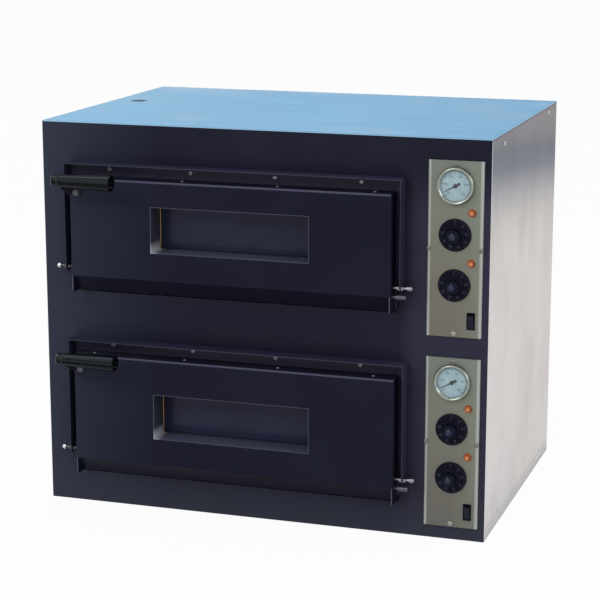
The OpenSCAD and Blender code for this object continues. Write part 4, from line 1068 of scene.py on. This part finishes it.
def dress_cheeks(mats, deck):
    """The end plates of the door, which run straight down beside its bevelled foot."""
    low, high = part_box(f"{deck}_door_shell")
    corners = [v.co for v in frame["nodes"][f"{deck}_door_shell"].data.vertices]
    bend = min(co.z for co in corners if co.y < low.y + 0.1 * MM)
    foot = min(co.y for co in corners if co.z < low.z + 0.1 * MM)
    thick, trim = 1.6 * MM, 3 * MM
    front = low.y + 0.2 * MM
    top, bottom = bend + 2 * MM, low.z + 0.4 * MM
    outline = [(front, top), (front, low.z + trim), (front + trim, bottom), (foot + 1 * MM, bottom),
               (foot + 1 * MM, low.z + 3 * MM), (front + 2.5 * MM, top)]

    def cheeks(bm):
        for x in (low.x + 0.2 * MM, high.x - thick - 0.2 * MM):
            slab(bm, [(x, y, z) for y, z in outline], (thick, 0, 0))

    add_piece(f"{deck}_door_cheeks", mesh_of("cheeks", cheeks), mats["cheek_paint"],
              f"{deck}_door")


def dress_stop(mats, deck):
    """A soft sleeve over the stop bolt at the door's right end."""
    box_low, box_high = max(solids(f"{deck}_door_fasteners"), key=lambda b: b[1].x)
    middle = (box_low + box_high) / 2
    bore, radius, length = 3.0 * MM, 4.2 * MM, 14 * MM
    start = box_high.x - length - 0.5 * MM

    def sleeve(bm):
        profile = [(bore, 0), (radius - 0.5 * MM, 0), (radius, 0.8 * MM), (radius, length - 1.4 * MM),
                   (radius - 0.8 * MM, length - 0.2 * MM), (bore, length)]
        lathe(bm, profile, (start, middle.y, middle.z), (1, 0, 0), 32)

    finish = "rubber_sleeve" if deck == "lower" else "clear_sleeve"
    add_piece(f"{deck}_stop_sleeve", mesh_of("sleeve", sleeve), mats[finish],
              f"{deck}_door", smooth=True)


def dress_seam(mats):
    """A black strip that fills the seam between the two front plates and laps behind them; its paint is
    lighter than the front's, as painted light.
    """
    low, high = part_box("lower_fascia")
    upper_low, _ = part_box("upper_fascia")
    z0, z1 = high.z, upper_low.z
    front, back = low.y + 0.25 * MM, high.y + 1.4 * MM
    lap, gap = 3 * MM, 0.05 * MM

    def strip(bm):
        outline = [(front, z0 + gap), (front - 0.15 * MM, (z0 + z1) / 2), (front, z1 - gap),
                   (high.y, z1 - gap), (high.y + 0.8 * MM, z1 + lap), (back, z1 + lap),
                   (back, z0 - lap), (high.y + 0.8 * MM, z0 - lap), (high.y, z0 + gap)]
        slab(bm, [(low.x + 1 * MM, y, z) for y, z in outline], (high.x - low.x - 2 * MM, 0, 0))

    add_piece("deck_seam_strip", mesh_of("strip", strip), mats["seam_lit_paint"], "cabinet")


# ---- Surroundings ----

def make_floor():
    """A floor that looks white, but throws back only the light that a grey one would."""
    reach, thick = 30, 10 * MM
    corners = [(-reach, -reach, 0), (reach, -reach, 0), (reach, reach, 0), (-reach, reach, 0)]
    mesh = mesh_of("floor", lambda bm: slab(bm, corners, (0, 0, -thick)))
    floor = bpy.data.objects.new("floor", mesh)
    bpy.context.scene.collection.objects.link(floor)
    mat = bpy.data.materials.new("floor")
    mat.use_nodes = True
    tree = mat.node_tree
    tree.nodes.clear()
    out = tree.nodes.new("ShaderNodeOutputMaterial")
    mix = tree.nodes.new("ShaderNodeMixShader")
    plain = tree.nodes.new("ShaderNodeBsdfDiffuse")
    plain.inputs["Color"].default_value = (0.8, 0.8, 0.8, 1)
    glow = tree.nodes.new("ShaderNodeEmission")
    glow.inputs["Color"].default_value = (1, 1, 1, 1)
    glow.inputs["Strength"].default_value = 1.0
    tree.links.new(calculate(tree, "MULTIPLY", seen(tree), 0.95), mix.inputs["Fac"])
    tree.links.new(plain.outputs["BSDF"], mix.inputs[1])
    tree.links.new(glow.outputs["Emission"], mix.inputs[2])
    tree.links.new(mix.outputs["Shader"], out.inputs["Surface"])
    mesh.materials.append(mat)


def seen(tree):
    """1 for rays from the camera, or that metal or glass sends on; 0 for the rays that light things."""
    path = tree.nodes.new("ShaderNodeLightPath")
    sent_on = calculate(tree, "MAXIMUM", path.outputs["Is Glossy Ray"], path.outputs["Is Transmission Ray"])
    return calculate(tree, "MAXIMUM", path.outputs["Is Camera Ray"], sent_on)


def make_world():
    """White where it is seen, and a soft grey where it lights things."""
    world = bpy.data.worlds.new("world")
    bpy.context.scene.world = world
    world.use_nodes = True
    tree = world.node_tree
    back = tree.nodes["Background"]
    mix = tree.nodes.new("ShaderNodeMix")
    mix.data_type = "RGBA"
    mix.inputs["A"].default_value = (0.62, 0.63, 0.65, 1)
    mix.inputs["B"].default_value = (1, 1, 1, 1)
    tree.links.new(seen(tree), mix.inputs["Factor"])
    tree.links.new(mix.outputs["Result"], back.inputs["Color"])


def make_lamp(name, place, aim, size, watts, colour=(1, 1, 1)):
    """A rectangular area lamp that points at aim."""
    data = bpy.data.lights.new(name, "AREA")
    data.shape = "RECTANGLE"
    data.size, data.size_y = size
    data.energy = watts
    data.color = colour
    lamp = bpy.data.objects.new(name, data)
    lamp.location = place
    lamp.rotation_euler = (Vector(aim) - Vector(place)).to_track_quat("-Z", "Y").to_euler()
    bpy.context.scene.collection.objects.link(lamp)


def make_lights():
    """A broad key from the left front, a softer one from the right and a weak one above."""
    middle = (0, 0, 0.4)
    make_lamp("key", (-1.8, -3.6, 3.0), middle, (2.4, 1.6), 62, (1.0, 0.99, 0.97))
    make_lamp("right", (3.6, -1.0, 2.0), middle, (1.8, 1.8), 40)
    make_lamp("top", (0.2, 0.6, 4.2), middle, (2.6, 2.0), 12, (0.97, 0.99, 1.0))


# ---- Build ----

bpy.context.scene.view_settings.view_transform = "Standard"
make_camera()
make_world()
make_lights()
make_floor()
mats = make_materials()
finish_nodes(mats)
for deck in DECKS:
    dress_gauge(mats, deck)
    dress_knob(mats, deck, "top")
    dress_knob(mats, deck, "bottom")
    dress_window(mats, deck)
    dress_cheeks(mats, deck)
    dress_stop(mats, deck)
dress_seam(mats)
dress_lamps(mats)
dress_top(mats)
dress_screws(mats, "panel_screws", "cabinet", "panel_zinc", lambda low, high: (0, -1, 0), "dull_zinc")
dress_screws(mats, "surround_screws", "cabinet", "hood_zinc", lambda low, high: (0, -1, 0), "dull_zinc")


def side_axis(low, high):
    """Cabinet screws point out of the left, right or rear panel."""
    near_back = high.y > cad_box[1][1] - 14 * MM
    lies_along_y = high.y - low.y > 6 * MM
    within_sides = abs(low.x) < 430 * MM
    if near_back and lies_along_y and within_sides:
        return (0, 1, 0)
    return (1, 0, 0) if low.x > 0 else (-1, 0, 0)


dress_screws(mats, "cabinet_screws", "cabinet", "zinc_steel", side_axis)
